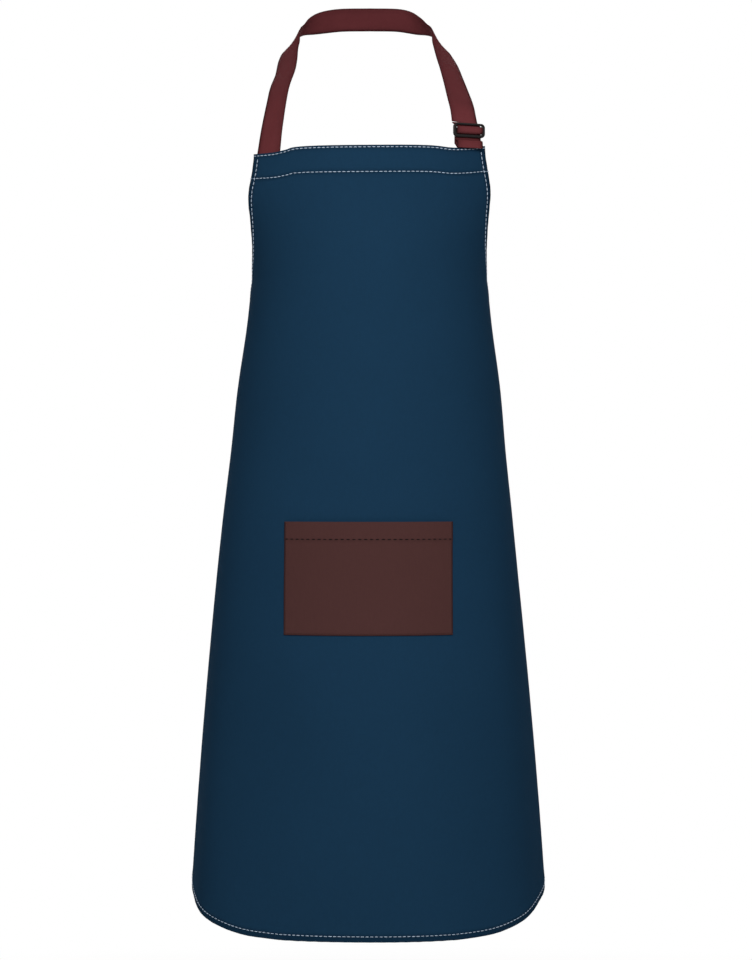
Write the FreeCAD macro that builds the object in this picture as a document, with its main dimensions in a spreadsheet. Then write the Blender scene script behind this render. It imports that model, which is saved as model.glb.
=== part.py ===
import FreeCAD, Part
import Sketcher
import math
import os

# A full-length bib apron, worn shape: a cloth panel curved round the body, a neck strap with a
# three-bar slider on the wearer's left, and a patch pocket.  Millimetres, +Z up, front towards -Y.
# The origin is the middle of the strap's inner face, where it rests on the nape of the neck.

SIZES = [
    # the worn body that the cloth hangs round: half widths along X, half depths along Y
    ("panel_length", 860.0, "bib top edge to hem, down the middle"),
    ("bib_drop", 167.6, "nape of the strap down to the bib's top edge"),
    ("neck_reach", 75.2, "nape of the strap forward to the body's middle"),
    ("chest_half_width", 165.0, "curve of the bib's top edge"),
    ("chest_half_depth", 115.0, "curve of the bib's top edge"),
    ("waist_half_width", 131.5, "narrowest place"),
    ("waist_half_depth", 115.0, "narrowest place"),
    ("waist_level", 140.0, "narrowest place below the bib's top edge"),
    ("hem_half_width", 200.5, "at the hem"),
    ("hem_half_depth", 128.0, "at the hem"),
    ("flare_curve", 0.35, "how much of the flare comes early"),
    # the cut edge of the panel, seen from the side: places from the body's middle, levels from the top
    ("bib_corner_place", -73.0, "bib corner"),
    ("armhole_mid_place", -46.0, "half way down the curved armhole"),
    ("armhole_mid_level", 72.0, "half way down the curved armhole"),
    ("armhole_end_place", -4.0, "where the armhole turns straight"),
    ("armhole_end_level", 135.0, "where the armhole turns straight"),
    ("tie_corner_place", 78.0, "corner that carries the waist tie"),
    ("tie_corner_level", 232.0, "corner that carries the waist tie"),
    ("back_edge_place", 60.0, "back edge where the hem corner starts"),
    ("hem_corner_radius", 158.0, "rounded bottom corner"),
    # cloth
    ("cloth_thickness", 1.0, "panel and pocket cloth"),
    ("layer_gap", 0.2, "between sewn layers"),
    ("top_hem_height", 27.0, "deep hem along the bib's top edge"),
    ("side_hem_width", 10.0, "turned hem along armholes, back edges and bottom"),
    ("hem_split_level", 700.0, "where the side hems end and the bottom hem starts"),
    ("top_stitch_inset", 2.5, "stitches below the top edge"),
    ("edge_stitch_inset", 6.0, "stitches inside the other edges"),
    ("thread_width", 0.8, "sewing thread lying on the cloth"),
    ("thread_height", 0.4, "sewing thread lying on the cloth"),
    # patch pocket
    ("pocket_width", 180.0, "across"),
    ("pocket_height", 123.0, "top to bottom"),
    ("pocket_level", 407.0, "pocket top below the bib's top edge"),
    ("pocket_hem_height", 19.0, "hem along the pocket's mouth"),
    ("pocket_room", 8.0, "space behind the pocket cloth"),
    ("pocket_seam", 3.0, "sewn edge of the pocket"),
    # webbing
    ("webbing_width", 30.0, "neck strap"),
    ("webbing_thickness", 1.2, "neck strap"),
    ("tab_thickness", 1.1, "short tab webbing"),
    ("strap_place", 109.0, "strap feet from the middle"),
    ("strap_foot_depth", 20.0, "strap end sewn below the bib's top edge"),
    ("nape_slope", 48.0, "lean of the strap on the nape, degrees from upright"),
    ("strap_yaw", 32.0, "strap foot turned with the chest, degrees"),
    ("tie_end_length", 36.0, "sewn end of a waist tie"),
    ("tie_end_width", 25.0, "sewn end of a waist tie"),
    ("tie_end_back", 30.0, "rear of a sewn tie end ahead of the tie corner"),
    # slider: heights are up from its lower edge
    ("slider_width", 38.0, "outside"),
    ("slider_height", 15.6, "outside"),
    ("slider_depth", 2.8, "front to back"),
    ("slider_side", 3.0, "side rail width"),
    ("lower_bar", 3.2, "bar height"),
    ("upper_bar", 2.3, "bar height"),
    ("bar_diameter", 2.4, "round middle bar"),
    ("bar_level", 8.1, "middle bar's axis"),
    ("slider_rise", 11.3, "slider's lower edge above the bib's top edge"),
    ("slider_yaw", 24.0, "slider turned with the chest, degrees"),
    ("slider_round", 4.5, "corner radius outside"),
    ("fold_gap", 0.3, "running gap between folded webbing and what it turns round"),
    ("slider_stand", 1.65, "slider's middle in front of the strap foot's curve"),
    ("strap_over_top", 18.0, "top of the strap's folded stretch, above the slider's lower edge"),
    ("strap_over_low", -0.8, "lower end of the strap's folded stretch"),
    ("tab_end_lift", 0.4, "tab loop's ends above the bib's top edge"),
    ("tab_bend_drop", 0.9, "tab's rear bend below the middle bar's axis"),
    ("sharp_bend", 0.8, "bend radius of folded webbing"),
    ("tab_rear_bend", 1.5, "bend radius where the tab comes off the middle bar"),
    ("bend_ease", 0.1, "straight left between two bends of the strap"),
    ("tail_ahead", 2.6, "inner face of the folded end in front of the slider's middle"),
    ("tail_start", -2.4, "upper end of the short tail"),
    ("tail_bend", -3.1, "bend of the short tail"),
    ("tail_bend_ahead", 0.9, "bend of the short tail in front of its upper end"),
    ("tail_low", -4.4, "lower end of the short tail"),
    ("tail_overlap", 0.6, "short tail's lower end behind the folded end's middle"),
    ("tail_top", -5.6, "top of the folded end"),
    ("tail_end_height", 6.0, "folded end of the strap"),
]

# how finely curved shapes are followed, and reaches that only have to be large enough
BODY_STEPS = 12
UPPER_STEPS = 5
NAPE_SECTIONS = 9
RUN_SECTIONS = 9
HALVINGS = 60
MARGIN = 30.0
FAR = 500.0
TINY = 0.001
BULGE_POWER = 1.5

# half of the neck strap: across, back from the nape, above the nape; it turns over at FOLD_DROP
STRAP_ROUTE = [
    (46.0, -4.6, -4.8),
    (80.0, -18.6, -20.6),
    (86.0, -43.6, -43.6),
    (91.0, -80.6, -69.6),
    (97.0, -120.6, -99.6),
]
FOLD_DROP = 20.6
# its last points before the foot: inward, back and up from the foot
STRAP_LANDING = [(5.0, 12.75, 34.0), (1.25, 1.7, 14.0)]

doc = FreeCAD.newDocument("BibApron")
sheet = doc.addObject("Spreadsheet::Sheet", "Sizes")
for row, (alias, value, note) in enumerate(SIZES, start=1):
    sheet.set(f"A{row}", alias)
    sheet.set(f"B{row}", str(value))
    sheet.setAlias(f"B{row}", alias)
    sheet.set(f"C{row}", note)
doc.recompute()

SUB_PARTS = []


def size(alias):
    return float(sheet.get(alias))


def vec(x, y, z):
    return FreeCAD.Vector(x, y, z)


def level_to_z(level):
    """Height of a level measured down from the bib's top edge."""
    return -size("bib_drop") - level


def body_y(place):
    """Y of a place measured back from the body's middle."""
    return place - size("neck_reach")


def add_shape(name, shape, placement=None):
    """Keep a finished shape as a sub-part of the document."""
    item = doc.addObject("Part::Feature", name)
    item.Label = name
    item.Shape = shape
    if placement is not None:
        item.Placement = placement
    SUB_PARTS.append(item)
    return item


# ---------------------------------------------------------------- the worn body and cloth layers

def body_section(level):
    """Half width and half depth of the worn body at a level."""
    waist = size("waist_level")
    if level <= waist:
        rise = 1.0 - max(level, -MARGIN) / waist
        bulge = rise ** BULGE_POWER
        width = size("waist_half_width") + (size("chest_half_width") - size("waist_half_width")) * bulge
        depth = size("waist_half_depth") + (size("chest_half_depth") - size("waist_half_depth")) * bulge
        return width, depth
    run = (level - waist) / (size("panel_length") - waist)
    flare = (1.0 + size("flare_curve")) * run - size("flare_curve") * run * run
    width = size("waist_half_width") + (size("hem_half_width") - size("waist_half_width")) * flare
    depth = size("waist_half_depth") + (size("hem_half_depth") - size("waist_half_depth")) * flare
    return width, depth


def body_levels():
    """Levels of the sections, closer together above the waist."""
    waist = size("waist_level")
    upper = [-MARGIN + (waist + MARGIN) * i / UPPER_STEPS for i in range(UPPER_STEPS)]
    lower = [waist + (size("panel_length") + MARGIN - waist) * i / BODY_STEPS
             for i in range(BODY_STEPS + 1)]
    return upper + lower


def body_solid(offset):
    """The worn body grown by an offset, as one smooth loft with its seam at the back."""
    wires = []
    for level in body_levels():
        width, depth = body_section(level)
        centre = vec(0, body_y(0), level_to_z(level))
        curve = Part.Ellipse(centre, width + offset, depth + offset)
        wires.append(Part.Wire([curve.toShape(math.pi / 2, math.pi * 2.5)]))
    return Part.makeLoft(wires, True, False)


def layer(inner, outer, region):
    """A cloth layer between two offsets of the body, inside a region."""
    return body_solid(outer).cut(body_solid(inner)).common(region)


def side_point(place, level):
    """A point of the side view: place from the body's middle, level below the top edge."""
    return vec(0, body_y(place), level_to_z(level))


def side_outline(inset=0.0):
    """The panel's cut edge seen from the side; the front stays open, far ahead of the cloth."""
    radius = size("hem_corner_radius")
    length = size("panel_length")
    back = size("back_edge_place")
    corner_level = length - radius
    centre_place = back - radius
    slant = radius * math.sqrt(0.5)
    points = {
        "bib": side_point(size("bib_corner_place"), 0),
        "arm_mid": side_point(size("armhole_mid_place"), size("armhole_mid_level")),
        "arm_end": side_point(size("armhole_end_place"), size("armhole_end_level")),
        "tie": side_point(size("tie_corner_place"), size("tie_corner_level")),
        "back": side_point(back, corner_level),
        "round": side_point(centre_place + slant, corner_level + slant),
        "hem": side_point(centre_place, length),
        "front_low": side_point(-FAR, length),
        "front_high": side_point(-FAR, 0),
    }
    edges = [
        Part.Arc(points["bib"], points["arm_mid"], points["arm_end"]).toShape(),
        Part.LineSegment(points["arm_end"], points["tie"]).toShape(),
        Part.LineSegment(points["tie"], points["back"]).toShape(),
        Part.Arc(points["back"], points["round"], points["hem"]).toShape(),
        Part.LineSegment(points["hem"], points["front_low"]).toShape(),
        Part.LineSegment(points["front_low"], points["front_high"]).toShape(),
        Part.LineSegment(points["front_high"], points["bib"]).toShape(),
    ]
    wire = Part.Wire(edges)
    if inset > 0:
        wire = wire.makeOffset2D(-inset)
    prism = Part.Face(wire).extrude(vec(2 * FAR, 0, 0))
    prism.translate(vec(-FAR, 0, 0))
    return prism


def edge_strip(inset, width):
    """The strip of the panel that runs along its cut edge at an inset."""
    return side_outline(inset).cut(side_outline(inset + width))


def block(x_low, x_high, place_low, place_high, level_low, level_high):
    """A box region between two levels."""
    box = Part.makeBox(x_high - x_low, place_high - place_low, level_high - level_low)
    box.translate(vec(x_low, body_y(place_low), level_to_z(level_high)))
    return box


def slab(level_low, level_high, x_low=-FAR, x_high=FAR):
    """The region between two levels, as wide as asked and through the whole body."""
    return block(x_low, x_high, -FAR, FAR, level_low, level_high)


# ---------------------------------------------------------------- panel, hems and stitches

def build_panel():
    add_shape("apron_panel", layer(0, size("cloth_thickness"), side_outline()))


def build_hems():
    """Turned hems on the inside of the panel."""
    gap = size("layer_gap")
    inner = -gap - size("cloth_thickness")
    split = size("hem_split_level")
    top = size("top_hem_height")
    add_shape("top_hem", layer(inner, -gap, side_outline().common(slab(0, top))))
    strip = edge_strip(0, size("side_hem_width"))
    sides = strip.common(slab(top + gap, split))
    add_shape("side_hem_left", layer(inner, -gap, sides.common(slab(0, split, -FAR, 0))))
    add_shape("side_hem_right", layer(inner, -gap, sides.common(slab(0, split, 0, FAR))))
    bottom = strip.common(slab(split + gap, size("panel_length") + 1))
    add_shape("bottom_hem", layer(inner, -gap, bottom))


def build_edge_stitches():
    """Rows of contrast thread on the outside of the panel."""
    low = size("cloth_thickness") + size("layer_gap") / 2
    high = low + size("thread_height")
    thread = size("thread_width")
    top = size("top_hem_height")
    split = size("hem_split_level")
    inset = size("edge_stitch_inset")
    row = edge_strip(size("top_stitch_inset"), thread).common(slab(0, inset))
    add_shape("top_edge_stitches", layer(low, high, row.common(block(-FAR, FAR, -FAR, 0, 0, inset))))
    band = side_outline(inset + 2 * thread).common(slab(top - thread, top))
    add_shape("top_hem_stitches", layer(low, high, band))
    run = edge_strip(inset, thread)
    sides = run.common(slab(inset + 2 * thread, split))
    add_shape("side_stitches_left", layer(low, high, sides.common(slab(0, split, -FAR, 0))))
    add_shape("side_stitches_right", layer(low, high, sides.common(slab(0, split, 0, FAR))))
    bottom = run.common(slab(split + thread, size("panel_length") + 1))
    add_shape("bottom_stitches", layer(low, high, bottom))


# ---------------------------------------------------------------- pocket

def pocket_block(side_inset, bottom_inset, top_level):
    """The pocket's region in front of the body, inset at its sides and bottom."""
    half = size("pocket_width") / 2 - side_inset
    bottom = size("pocket_level") + size("pocket_height") - bottom_inset
    return block(-half, half, -FAR, 0, top_level, bottom)


def build_pocket():
    """Pocket cloth standing off the panel, open at the top, sewn at the sides and bottom."""
    cloth = size("cloth_thickness")
    seat = cloth + size("layer_gap")
    face = seat + size("pocket_room")
    seam = size("pocket_seam")
    top = size("pocket_level")
    hem_bottom = top + size("pocket_hem_height")
    gap = size("layer_gap")
    body = layer(seat, face + cloth, pocket_block(0, 0, top))
    cavity = layer(seat - gap, face, pocket_block(seam, seam, top - 1))
    add_shape("pocket_cloth", body.cut(cavity))
    hem_zone = pocket_block(seam + gap, 0, top).common(slab(top, hem_bottom))
    add_shape("pocket_hem", layer(face - gap - cloth, face - gap, hem_zone))
    low = face + cloth + gap / 2
    high = low + size("thread_height")
    thread = size("thread_width")
    row = pocket_block(seam, 0, hem_bottom - thread).common(slab(hem_bottom - thread, hem_bottom))
    add_shape("pocket_hem_stitches", layer(low, high, row))
    outer = pocket_block(seam / 2, seam / 2, top + seam)
    inner = pocket_block(seam / 2 + thread, seam / 2 + thread, top)
    add_shape("pocket_seam_stitches", layer(low, high, outer.cut(inner)))


# ---------------------------------------------------------------- sewn strap ends and tie ends

def strap_foot_zone(side):
    """The region behind the bib's top edge that a strap foot fills."""
    half = size("webbing_width") / 2
    middle = side * size("strap_place")
    depth = size("strap_foot_depth")
    gap = size("layer_gap")
    return block(middle - half, middle + half, -FAR, 0, gap, depth)


def build_sewn_ends():
    """Strap, tab and waist tie ends, sewn behind the hems."""
    gap = size("layer_gap")
    start = -2 * gap - size("cloth_thickness")
    strap = size("webbing_thickness")
    tab = 2 * size("tab_thickness") + size("fold_gap")
    add_shape("strap_foot_left", layer(start - strap, start, strap_foot_zone(-1)))
    add_shape("tab_foot_right", layer(start - tab, start, strap_foot_zone(1)))
    length = size("tie_end_length")
    width = size("tie_end_width")
    rear = size("tie_corner_place") - size("tie_end_back")
    top = size("tie_corner_level") - width
    for name, side in (("tie_end_left", -1), ("tie_end_right", 1)):
        low, high = (0, FAR) if side > 0 else (-FAR, 0)
        zone = block(low, high, rear - length, rear, top, top + width)
        add_shape(name, layer(start - strap, start, zone))


# ---------------------------------------------------------------- neck strap

def strap_foot_point():
    """Middle of the strap's foot on the right, at the bib's top edge."""
    width, depth = body_section(0)
    across = size("strap_place")
    back = -depth * math.sqrt(1 - (across / width) ** 2)
    return across, back


def strap_curve(side):
    """Middle line of half the strap, from the nape to the foot."""
    across, back = strap_foot_point()
    lean = math.radians(size("nape_slope"))
    half = size("webbing_thickness") / 2
    points = [vec(0, half * math.cos(lean), half * math.sin(lean))]
    for x, y, z in STRAP_ROUTE:
        points.append(vec(side * x, y, z))
    foot_y = body_y(back)
    foot_z = level_to_z(0)
    for inward, rearward, rise in STRAP_LANDING:
        points.append(vec(side * (across - inward), foot_y + rearward, foot_z + rise))
    points.append(vec(side * across, foot_y, foot_z))
    curve = Part.BSplineCurve()
    start = vec(side, 0, 0)
    curve.interpolate(Points=points, InitialTangent=start, FinalTangent=vec(0, 0, -1))
    return curve


def strap_section(curve, param, side, twist):
    """Cross-section of the webbing: flat on the nape, turned to face the chest at the foot."""
    point = curve.value(param)
    along = curve.tangent(param)[0]
    lean = math.radians(size("nape_slope"))
    yaw = math.radians(size("strap_yaw"))
    on_nape = vec(0, -math.sin(lean), math.cos(lean))
    on_chest = vec(-side * math.cos(yaw), -math.sin(yaw), 0)
    across = on_nape * (1 - twist) + on_chest * twist
    across = across - along * across.dot(along)
    across.normalize()
    normal = along.cross(across)
    half_width = across * (size("webbing_width") / 2)
    half_thick = normal * (size("webbing_thickness") / 2)
    corners = [point + half_width + half_thick, point - half_width + half_thick,
               point - half_width - half_thick, point + half_width - half_thick]
    return Part.makePolygon(corners + corners[:1])


def param_at_z(curve, z):
    """Parameter where the strap's middle line passes a height on its way down."""
    low, high = curve.FirstParameter, curve.LastParameter
    for _ in range(HALVINGS):
        middle = (low + high) / 2
        if curve.value(middle).z > z:
            low = middle
        else:
            high = middle
    return (low + high) / 2


def build_neck_strap():
    """Nape piece and the two runs down to the bib."""
    gap = size("layer_gap")
    right = strap_curve(1)
    left = strap_curve(-1)
    fold = param_at_z(right, -FOLD_DROP)
    half_count = NAPE_SECTIONS // 2
    sections = []
    for step in range(half_count, 0, -1):
        sections.append(strap_section(left, fold * step / half_count, -1, 0))
    centre = strap_section(right, 0, 1, 0)
    sections = [flip_section(item) for item in sections]
    sections.append(centre)
    for step in range(1, half_count + 1):
        sections.append(strap_section(right, fold * step / half_count, 1, 0))
    add_shape("neck_strap_nape", Part.makeLoft(sections, True, False))
    foot_z = level_to_z(0)
    slider_top = foot_z + size("slider_rise") + size("strap_over_top") + gap
    build_run("neck_strap_left", left, -1, foot_z + gap)
    build_run("neck_strap_right", right, 1, slider_top)


def flip_section(wire):
    """The same section with its corners in the order that the right half uses."""
    points = [vertex.Point for vertex in wire.OrderedVertexes]
    ordered = [points[3], points[2], points[1], points[0]]
    return Part.makePolygon(ordered + ordered[:1])


def build_run(name, curve, side, low_z):
    """One run of the strap from the fold down to a height, turning to face the chest."""
    first = param_at_z(curve, -FOLD_DROP - size("layer_gap"))
    last = param_at_z(curve, low_z)
    end = curve.LastParameter
    sections = []
    for step in range(RUN_SECTIONS):
        param = first + (last - first) * step / (RUN_SECTIONS - 1)
        twist = (param - first) / (end - first)
        sections.append(strap_section(curve, param, side, twist))
    add_shape(name, Part.makeLoft(sections, True, False))


# ---------------------------------------------------------------- slider and folded webbing

def slider_placement():
    """The slider stands over the right strap foot, turned with the chest."""
    across, _ = strap_foot_point()
    width, depth = body_section(0)
    stand = size("slider_stand")
    back = -(depth + stand) * math.sqrt(1 - (across / (width + stand)) ** 2)
    base = vec(across, body_y(back), level_to_z(0) + size("slider_rise"))
    turn = FreeCAD.Rotation(vec(0, 0, 1), size("slider_yaw"))
    return FreeCAD.Placement(base, turn)


def rounded_path(points, radius, across):
    """Straight runs joined by tangent arcs; each point is (ahead, up) from the slider's foot."""
    spots = [vec(across, -ahead, up) for ahead, up in points]
    edges = []
    start = spots[0]
    for index in range(1, len(spots) - 1):
        corner = spots[index]
        before = (spots[index - 1] - corner).normalize()
        after = (spots[index + 1] - corner).normalize()
        half_turn = before.getAngle(after) / 2
        reach = radius[index - 1] / math.tan(half_turn)
        arc_start = corner + before * reach
        arc_end = corner + after * reach
        inward = (before + after).normalize()
        centre = corner + inward * (radius[index - 1] / math.sin(half_turn))
        arc_middle = centre - inward * radius[index - 1]
        if (arc_start - start).Length > TINY / 10:
            edges.append(Part.LineSegment(start, arc_start).toShape())
        edges.append(Part.Arc(arc_start, arc_middle, arc_end).toShape())
        start = arc_end
    edges.append(Part.LineSegment(start, spots[-1]).toShape())
    return Part.Wire(edges)


def folded_webbing(name, points, radius, thickness, width):
    """Webbing folded along a path and as wide as the strap."""
    path = rounded_path(points, radius, -width / 2)
    band = path.makeOffset2D(thickness / 2, join=0, fill=True)
    solid = band.extrude(vec(width, 0, 0))
    if solid.ShapeType != "Solid":
        solid = solid.Solids[0]
    add_shape(name, solid, slider_placement())


def build_folded_pieces():
    """Tab loop round the middle bar, strap over it, and the strap's short tail in front."""
    tab = size("tab_thickness")
    strap = size("webbing_thickness")
    gap = size("fold_gap")
    width = size("webbing_width")
    bar = size("bar_diameter") / 2
    level = size("bar_level")
    depth = size("slider_depth") / 2
    rise = size("slider_rise")
    loop = bar + gap + tab / 2
    over = loop + tab / 2 + gap + strap / 2
    behind = -depth - gap - strap / 2
    near_leg = behind - strap / 2 - size("layer_gap") - tab / 2
    far_leg = near_leg - tab - gap
    bend = size("sharp_bend")
    ease = size("bend_ease")
    tab_end = size("tab_end_lift") + tab / 2 - rise
    folded_webbing("strap_tab", [
        (near_leg, tab_end),
        (near_leg, level - loop),
        (loop, level - loop),
        (loop, level + loop),
        (-bar, level + loop),
        (far_leg, level - size("tab_bend_drop")),
        (far_leg, tab_end),
    ], [bend, loop - TINY, loop - TINY, size("tab_rear_bend"), bend], tab, width)
    folded_webbing("strap_over_bar", [
        (behind, size("strap_over_top") - strap / 2),
        (behind, level + over + ease),
        (over, level + over),
        (over, level - over),
        (behind, level - over - ease),
        (behind, size("strap_over_low")),
    ], [bend, over - ease, over - ease, bend], strap, width)
    ahead = size("tail_ahead") + strap / 2
    folded_webbing("strap_tail", [
        (behind, size("tail_start")),
        (behind + size("tail_bend_ahead"), size("tail_bend")),
        (ahead - size("tail_overlap"), size("tail_low")),
    ], [bend], strap, width)
    height = size("tail_end_height")
    corner = vec(-width / 2, -ahead - strap, size("tail_top") - height)
    add_shape("tail_end", Part.makeBox(width, 2 * strap, height, corner), slider_placement())


def axis_plane(body, role):
    """One of a body's own origin planes."""
    for feature in body.Origin.OriginFeatures:
        if feature.Role == role:
            return feature
    raise ValueError(role)


def build_slider():
    """Moulded slider: a rounded frame with one window, and a round middle bar across it."""
    body = doc.addObject("PartDesign::Body", "slider_frame")
    body.Label = "slider_frame"
    sketch = body.newObject("Sketcher::SketchObject", "SliderOutline")
    sketch.AttachmentSupport = [(axis_plane(body, "XZ_Plane"), "")]
    sketch.MapMode = "FlatFace"
    rounded_rectangle(sketch, "slider_width", "slider_height", "slider_round")
    pad = body.newObject("PartDesign::Pad", "SliderPlate")
    pad.Profile = sketch
    pad.Midplane = True
    pad.setExpression("Length", "Sizes.slider_depth")
    window = body.newObject("Sketcher::SketchObject", "SliderWindow")
    window.AttachmentSupport = [(axis_plane(body, "XZ_Plane"), "")]
    window.MapMode = "FlatFace"
    window_rectangle(window)
    pocket = body.newObject("PartDesign::Pocket", "SliderOpening")
    pocket.Profile = window
    pocket.Midplane = True
    pocket.Type = "Length"
    pocket.setExpression("Length", "Sizes.slider_depth * 2")
    circle = body.newObject("Sketcher::SketchObject", "BarSection")
    circle.AttachmentSupport = [(axis_plane(body, "YZ_Plane"), "")]
    circle.MapMode = "FlatFace"
    circle.addGeometry(Part.Circle(vec(0, size("bar_level"), 0), vec(0, 0, 1), size("bar_diameter") / 2))
    from_axis(circle)
    bar = body.newObject("PartDesign::Pad", "MiddleBar")
    bar.Profile = circle
    bar.Midplane = True
    bar.setExpression("Length", "Sizes.slider_width - Sizes.slider_side")
    doc.recompute()
    body.Tip = bar
    body.Placement = slider_placement()
    SUB_PARTS.append(body)


def rounded_rectangle(sketch, width_name, high_name, round_name):
    """A rounded rectangle centred on the sketch's upright axis, standing on its level axis."""
    half = size(width_name) / 2
    high = size(high_name)
    radius = size(round_name)
    lines = [((-half + radius, 0), (half - radius, 0)), ((half, radius), (half, high - radius)),
             ((half - radius, high), (-half + radius, high)), ((-half, high - radius), (-half, radius))]
    for start, end in lines:
        sketch.addGeometry(Part.LineSegment(vec(*start, 0), vec(*end, 0)))
    arcs = [(half - radius, radius, -90), (half - radius, high - radius, 0),
            (-half + radius, high - radius, 90), (-half + radius, radius, 180)]
    for x, y, start in arcs:
        ring = Part.Circle(vec(x, y, 0), vec(0, 0, 1), radius)
        first = math.radians(start)
        sketch.addGeometry(Part.ArcOfCircle(ring, first, first + math.pi / 2))
    for index in range(4):
        sketch.addConstraint(Sketcher.Constraint("Tangent", index, 2, 4 + index, 1))
        sketch.addConstraint(Sketcher.Constraint("Tangent", 4 + index, 2, (index + 1) % 4, 1))
    sketch.addConstraint(Sketcher.Constraint("Vertical", 1))
    sketch.addConstraint(Sketcher.Constraint("Horizontal", 2))
    sketch.addConstraint(Sketcher.Constraint("Vertical", 3))
    sketch.addConstraint(Sketcher.Constraint("PointOnObject", 0, 1, -1))
    sketch.addConstraint(Sketcher.Constraint("Symmetric", 0, 1, 0, 2, -2))
    sketch.addConstraint(Sketcher.Constraint("Equal", 4, 5))
    sketch.addConstraint(Sketcher.Constraint("Equal", 5, 6))
    width = sketch.addConstraint(Sketcher.Constraint("DistanceX", 3, 1, 1, 1, 2 * half))
    sketch.setExpression(f"Constraints[{width}]", f"Sizes.{width_name}")
    height = sketch.addConstraint(Sketcher.Constraint("DistanceY", 0, 1, 2, 1, high))
    sketch.setExpression(f"Constraints[{height}]", f"Sizes.{high_name}")
    bend = sketch.addConstraint(Sketcher.Constraint("Radius", 4, radius))
    sketch.setExpression(f"Constraints[{bend}]", f"Sizes.{round_name}")


def window_rectangle(sketch):
    """The slider's window, between the two outer bars and the side rails."""
    half = size("slider_width") / 2 - size("slider_side")
    low = size("lower_bar")
    high = size("slider_height") - size("upper_bar")
    corners = [vec(-half, low, 0), vec(half, low, 0), vec(half, high, 0), vec(-half, high, 0)]
    for index in range(4):
        sketch.addGeometry(Part.LineSegment(corners[index], corners[(index + 1) % 4]))
    for index in range(4):
        sketch.addConstraint(Sketcher.Constraint("Coincident", index, 2, (index + 1) % 4, 1))
    sketch.addConstraint(Sketcher.Constraint("Horizontal", 2))
    sketch.addConstraint(Sketcher.Constraint("Vertical", 1))
    sketch.addConstraint(Sketcher.Constraint("Symmetric", 0, 1, 0, 2, -2))
    sizes = [
        (Sketcher.Constraint("DistanceX", 0, 1, 0, 2, 2 * half), "Sizes.slider_width - 2 * Sizes.slider_side"),
        (Sketcher.Constraint("DistanceY", -1, 1, 0, 1, low), "Sizes.lower_bar"),
        (Sketcher.Constraint("DistanceY", -1, 1, 2, 1, high), "Sizes.slider_height - Sizes.upper_bar"),
    ]
    for constraint, formula in sizes:
        index = sketch.addConstraint(constraint)
        sketch.setExpression(f"Constraints[{index}]", formula)


def from_axis(sketch):
    """Tie the bar's circle to the slider's axis and level."""
    sketch.addConstraint(Sketcher.Constraint("PointOnObject", 0, 3, -2))
    sizes = [
        (Sketcher.Constraint("DistanceY", -1, 1, 0, 3, size("bar_level")), "Sizes.bar_level"),
        (Sketcher.Constraint("Diameter", 0, size("bar_diameter")), "Sizes.bar_diameter"),
    ]
    for constraint, formula in sizes:
        index = sketch.addConstraint(constraint)
        sketch.setExpression(f"Constraints[{index}]", formula)


# ---------------------------------------------------------------- build, check and write

build_panel()
build_hems()
build_edge_stitches()
build_pocket()
build_sewn_ends()
build_neck_strap()
build_slider()
build_folded_pieces()
doc.recompute()

for item in doc.Objects:
    if "Invalid" in item.State or "Error" in item.State:
        raise RuntimeError(f"{item.Name} failed: {item.State}")
for item in SUB_PARTS:
    if item.Shape.isNull() or not item.Shape.isValid() or not item.Shape.Solids:
        raise RuntimeError(f"{item.Label} has no valid solid")

os.makedirs("parts", exist_ok=True)
for item in SUB_PARTS:
    item.Shape.exportStep(f"parts/{item.Label}.step")
    box = item.Shape.optimalBoundingBox()
    corners = [box.XMin, box.YMin, box.ZMin, box.XMax, box.YMax, box.ZMax]
    print(item.Label, len(item.Shape.Solids), round(item.Shape.Volume, 1), [round(v, 1) for v in corners])
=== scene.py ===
import math

import bmesh
import bpy
import numpy as np
from mathutils import Matrix, Vector


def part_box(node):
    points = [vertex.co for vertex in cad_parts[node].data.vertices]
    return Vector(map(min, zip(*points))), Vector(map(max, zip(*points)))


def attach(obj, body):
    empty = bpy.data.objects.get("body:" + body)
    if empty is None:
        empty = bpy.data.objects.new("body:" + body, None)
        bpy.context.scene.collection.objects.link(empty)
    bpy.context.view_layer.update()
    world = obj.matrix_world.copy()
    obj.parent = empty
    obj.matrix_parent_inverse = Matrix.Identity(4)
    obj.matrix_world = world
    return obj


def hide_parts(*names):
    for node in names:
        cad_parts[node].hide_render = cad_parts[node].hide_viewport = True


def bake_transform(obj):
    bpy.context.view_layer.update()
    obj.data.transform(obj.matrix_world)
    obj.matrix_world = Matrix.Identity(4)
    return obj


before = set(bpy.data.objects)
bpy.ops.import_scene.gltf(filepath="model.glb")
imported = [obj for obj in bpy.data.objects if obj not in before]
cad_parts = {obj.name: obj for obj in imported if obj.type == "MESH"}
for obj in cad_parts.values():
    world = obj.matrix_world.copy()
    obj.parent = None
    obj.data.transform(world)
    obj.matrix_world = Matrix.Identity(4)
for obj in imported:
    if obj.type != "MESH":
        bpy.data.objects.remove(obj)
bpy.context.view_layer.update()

# A bib apron on an unseen wearer.  Every piece of cloth is laid out flat, as a tailor would, in
# metres across (from the middle) and down (from the bib's top edge), and then worn: wrapped round
# the body at a small lift.  Metres throughout, front towards -Y.

# ------------------------------------------------------------------ sizes

PANEL_LOW, PANEL_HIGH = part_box("apron_panel")
TOP_Z = PANEL_HIGH[2]
LENGTH = PANEL_HIGH[2] - PANEL_LOW[2]
CLOTH = 0.0010
BODY_Y = -0.0752
CHEST_HALF = (0.165, 0.115)
WAIST_HALF = (0.1315, 0.115)
HEM_HALF = (PANEL_HIGH[0] - CLOTH, 0.128)
WAIST_LEVEL = 0.140
FLARE_CURVE = 0.35

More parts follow.
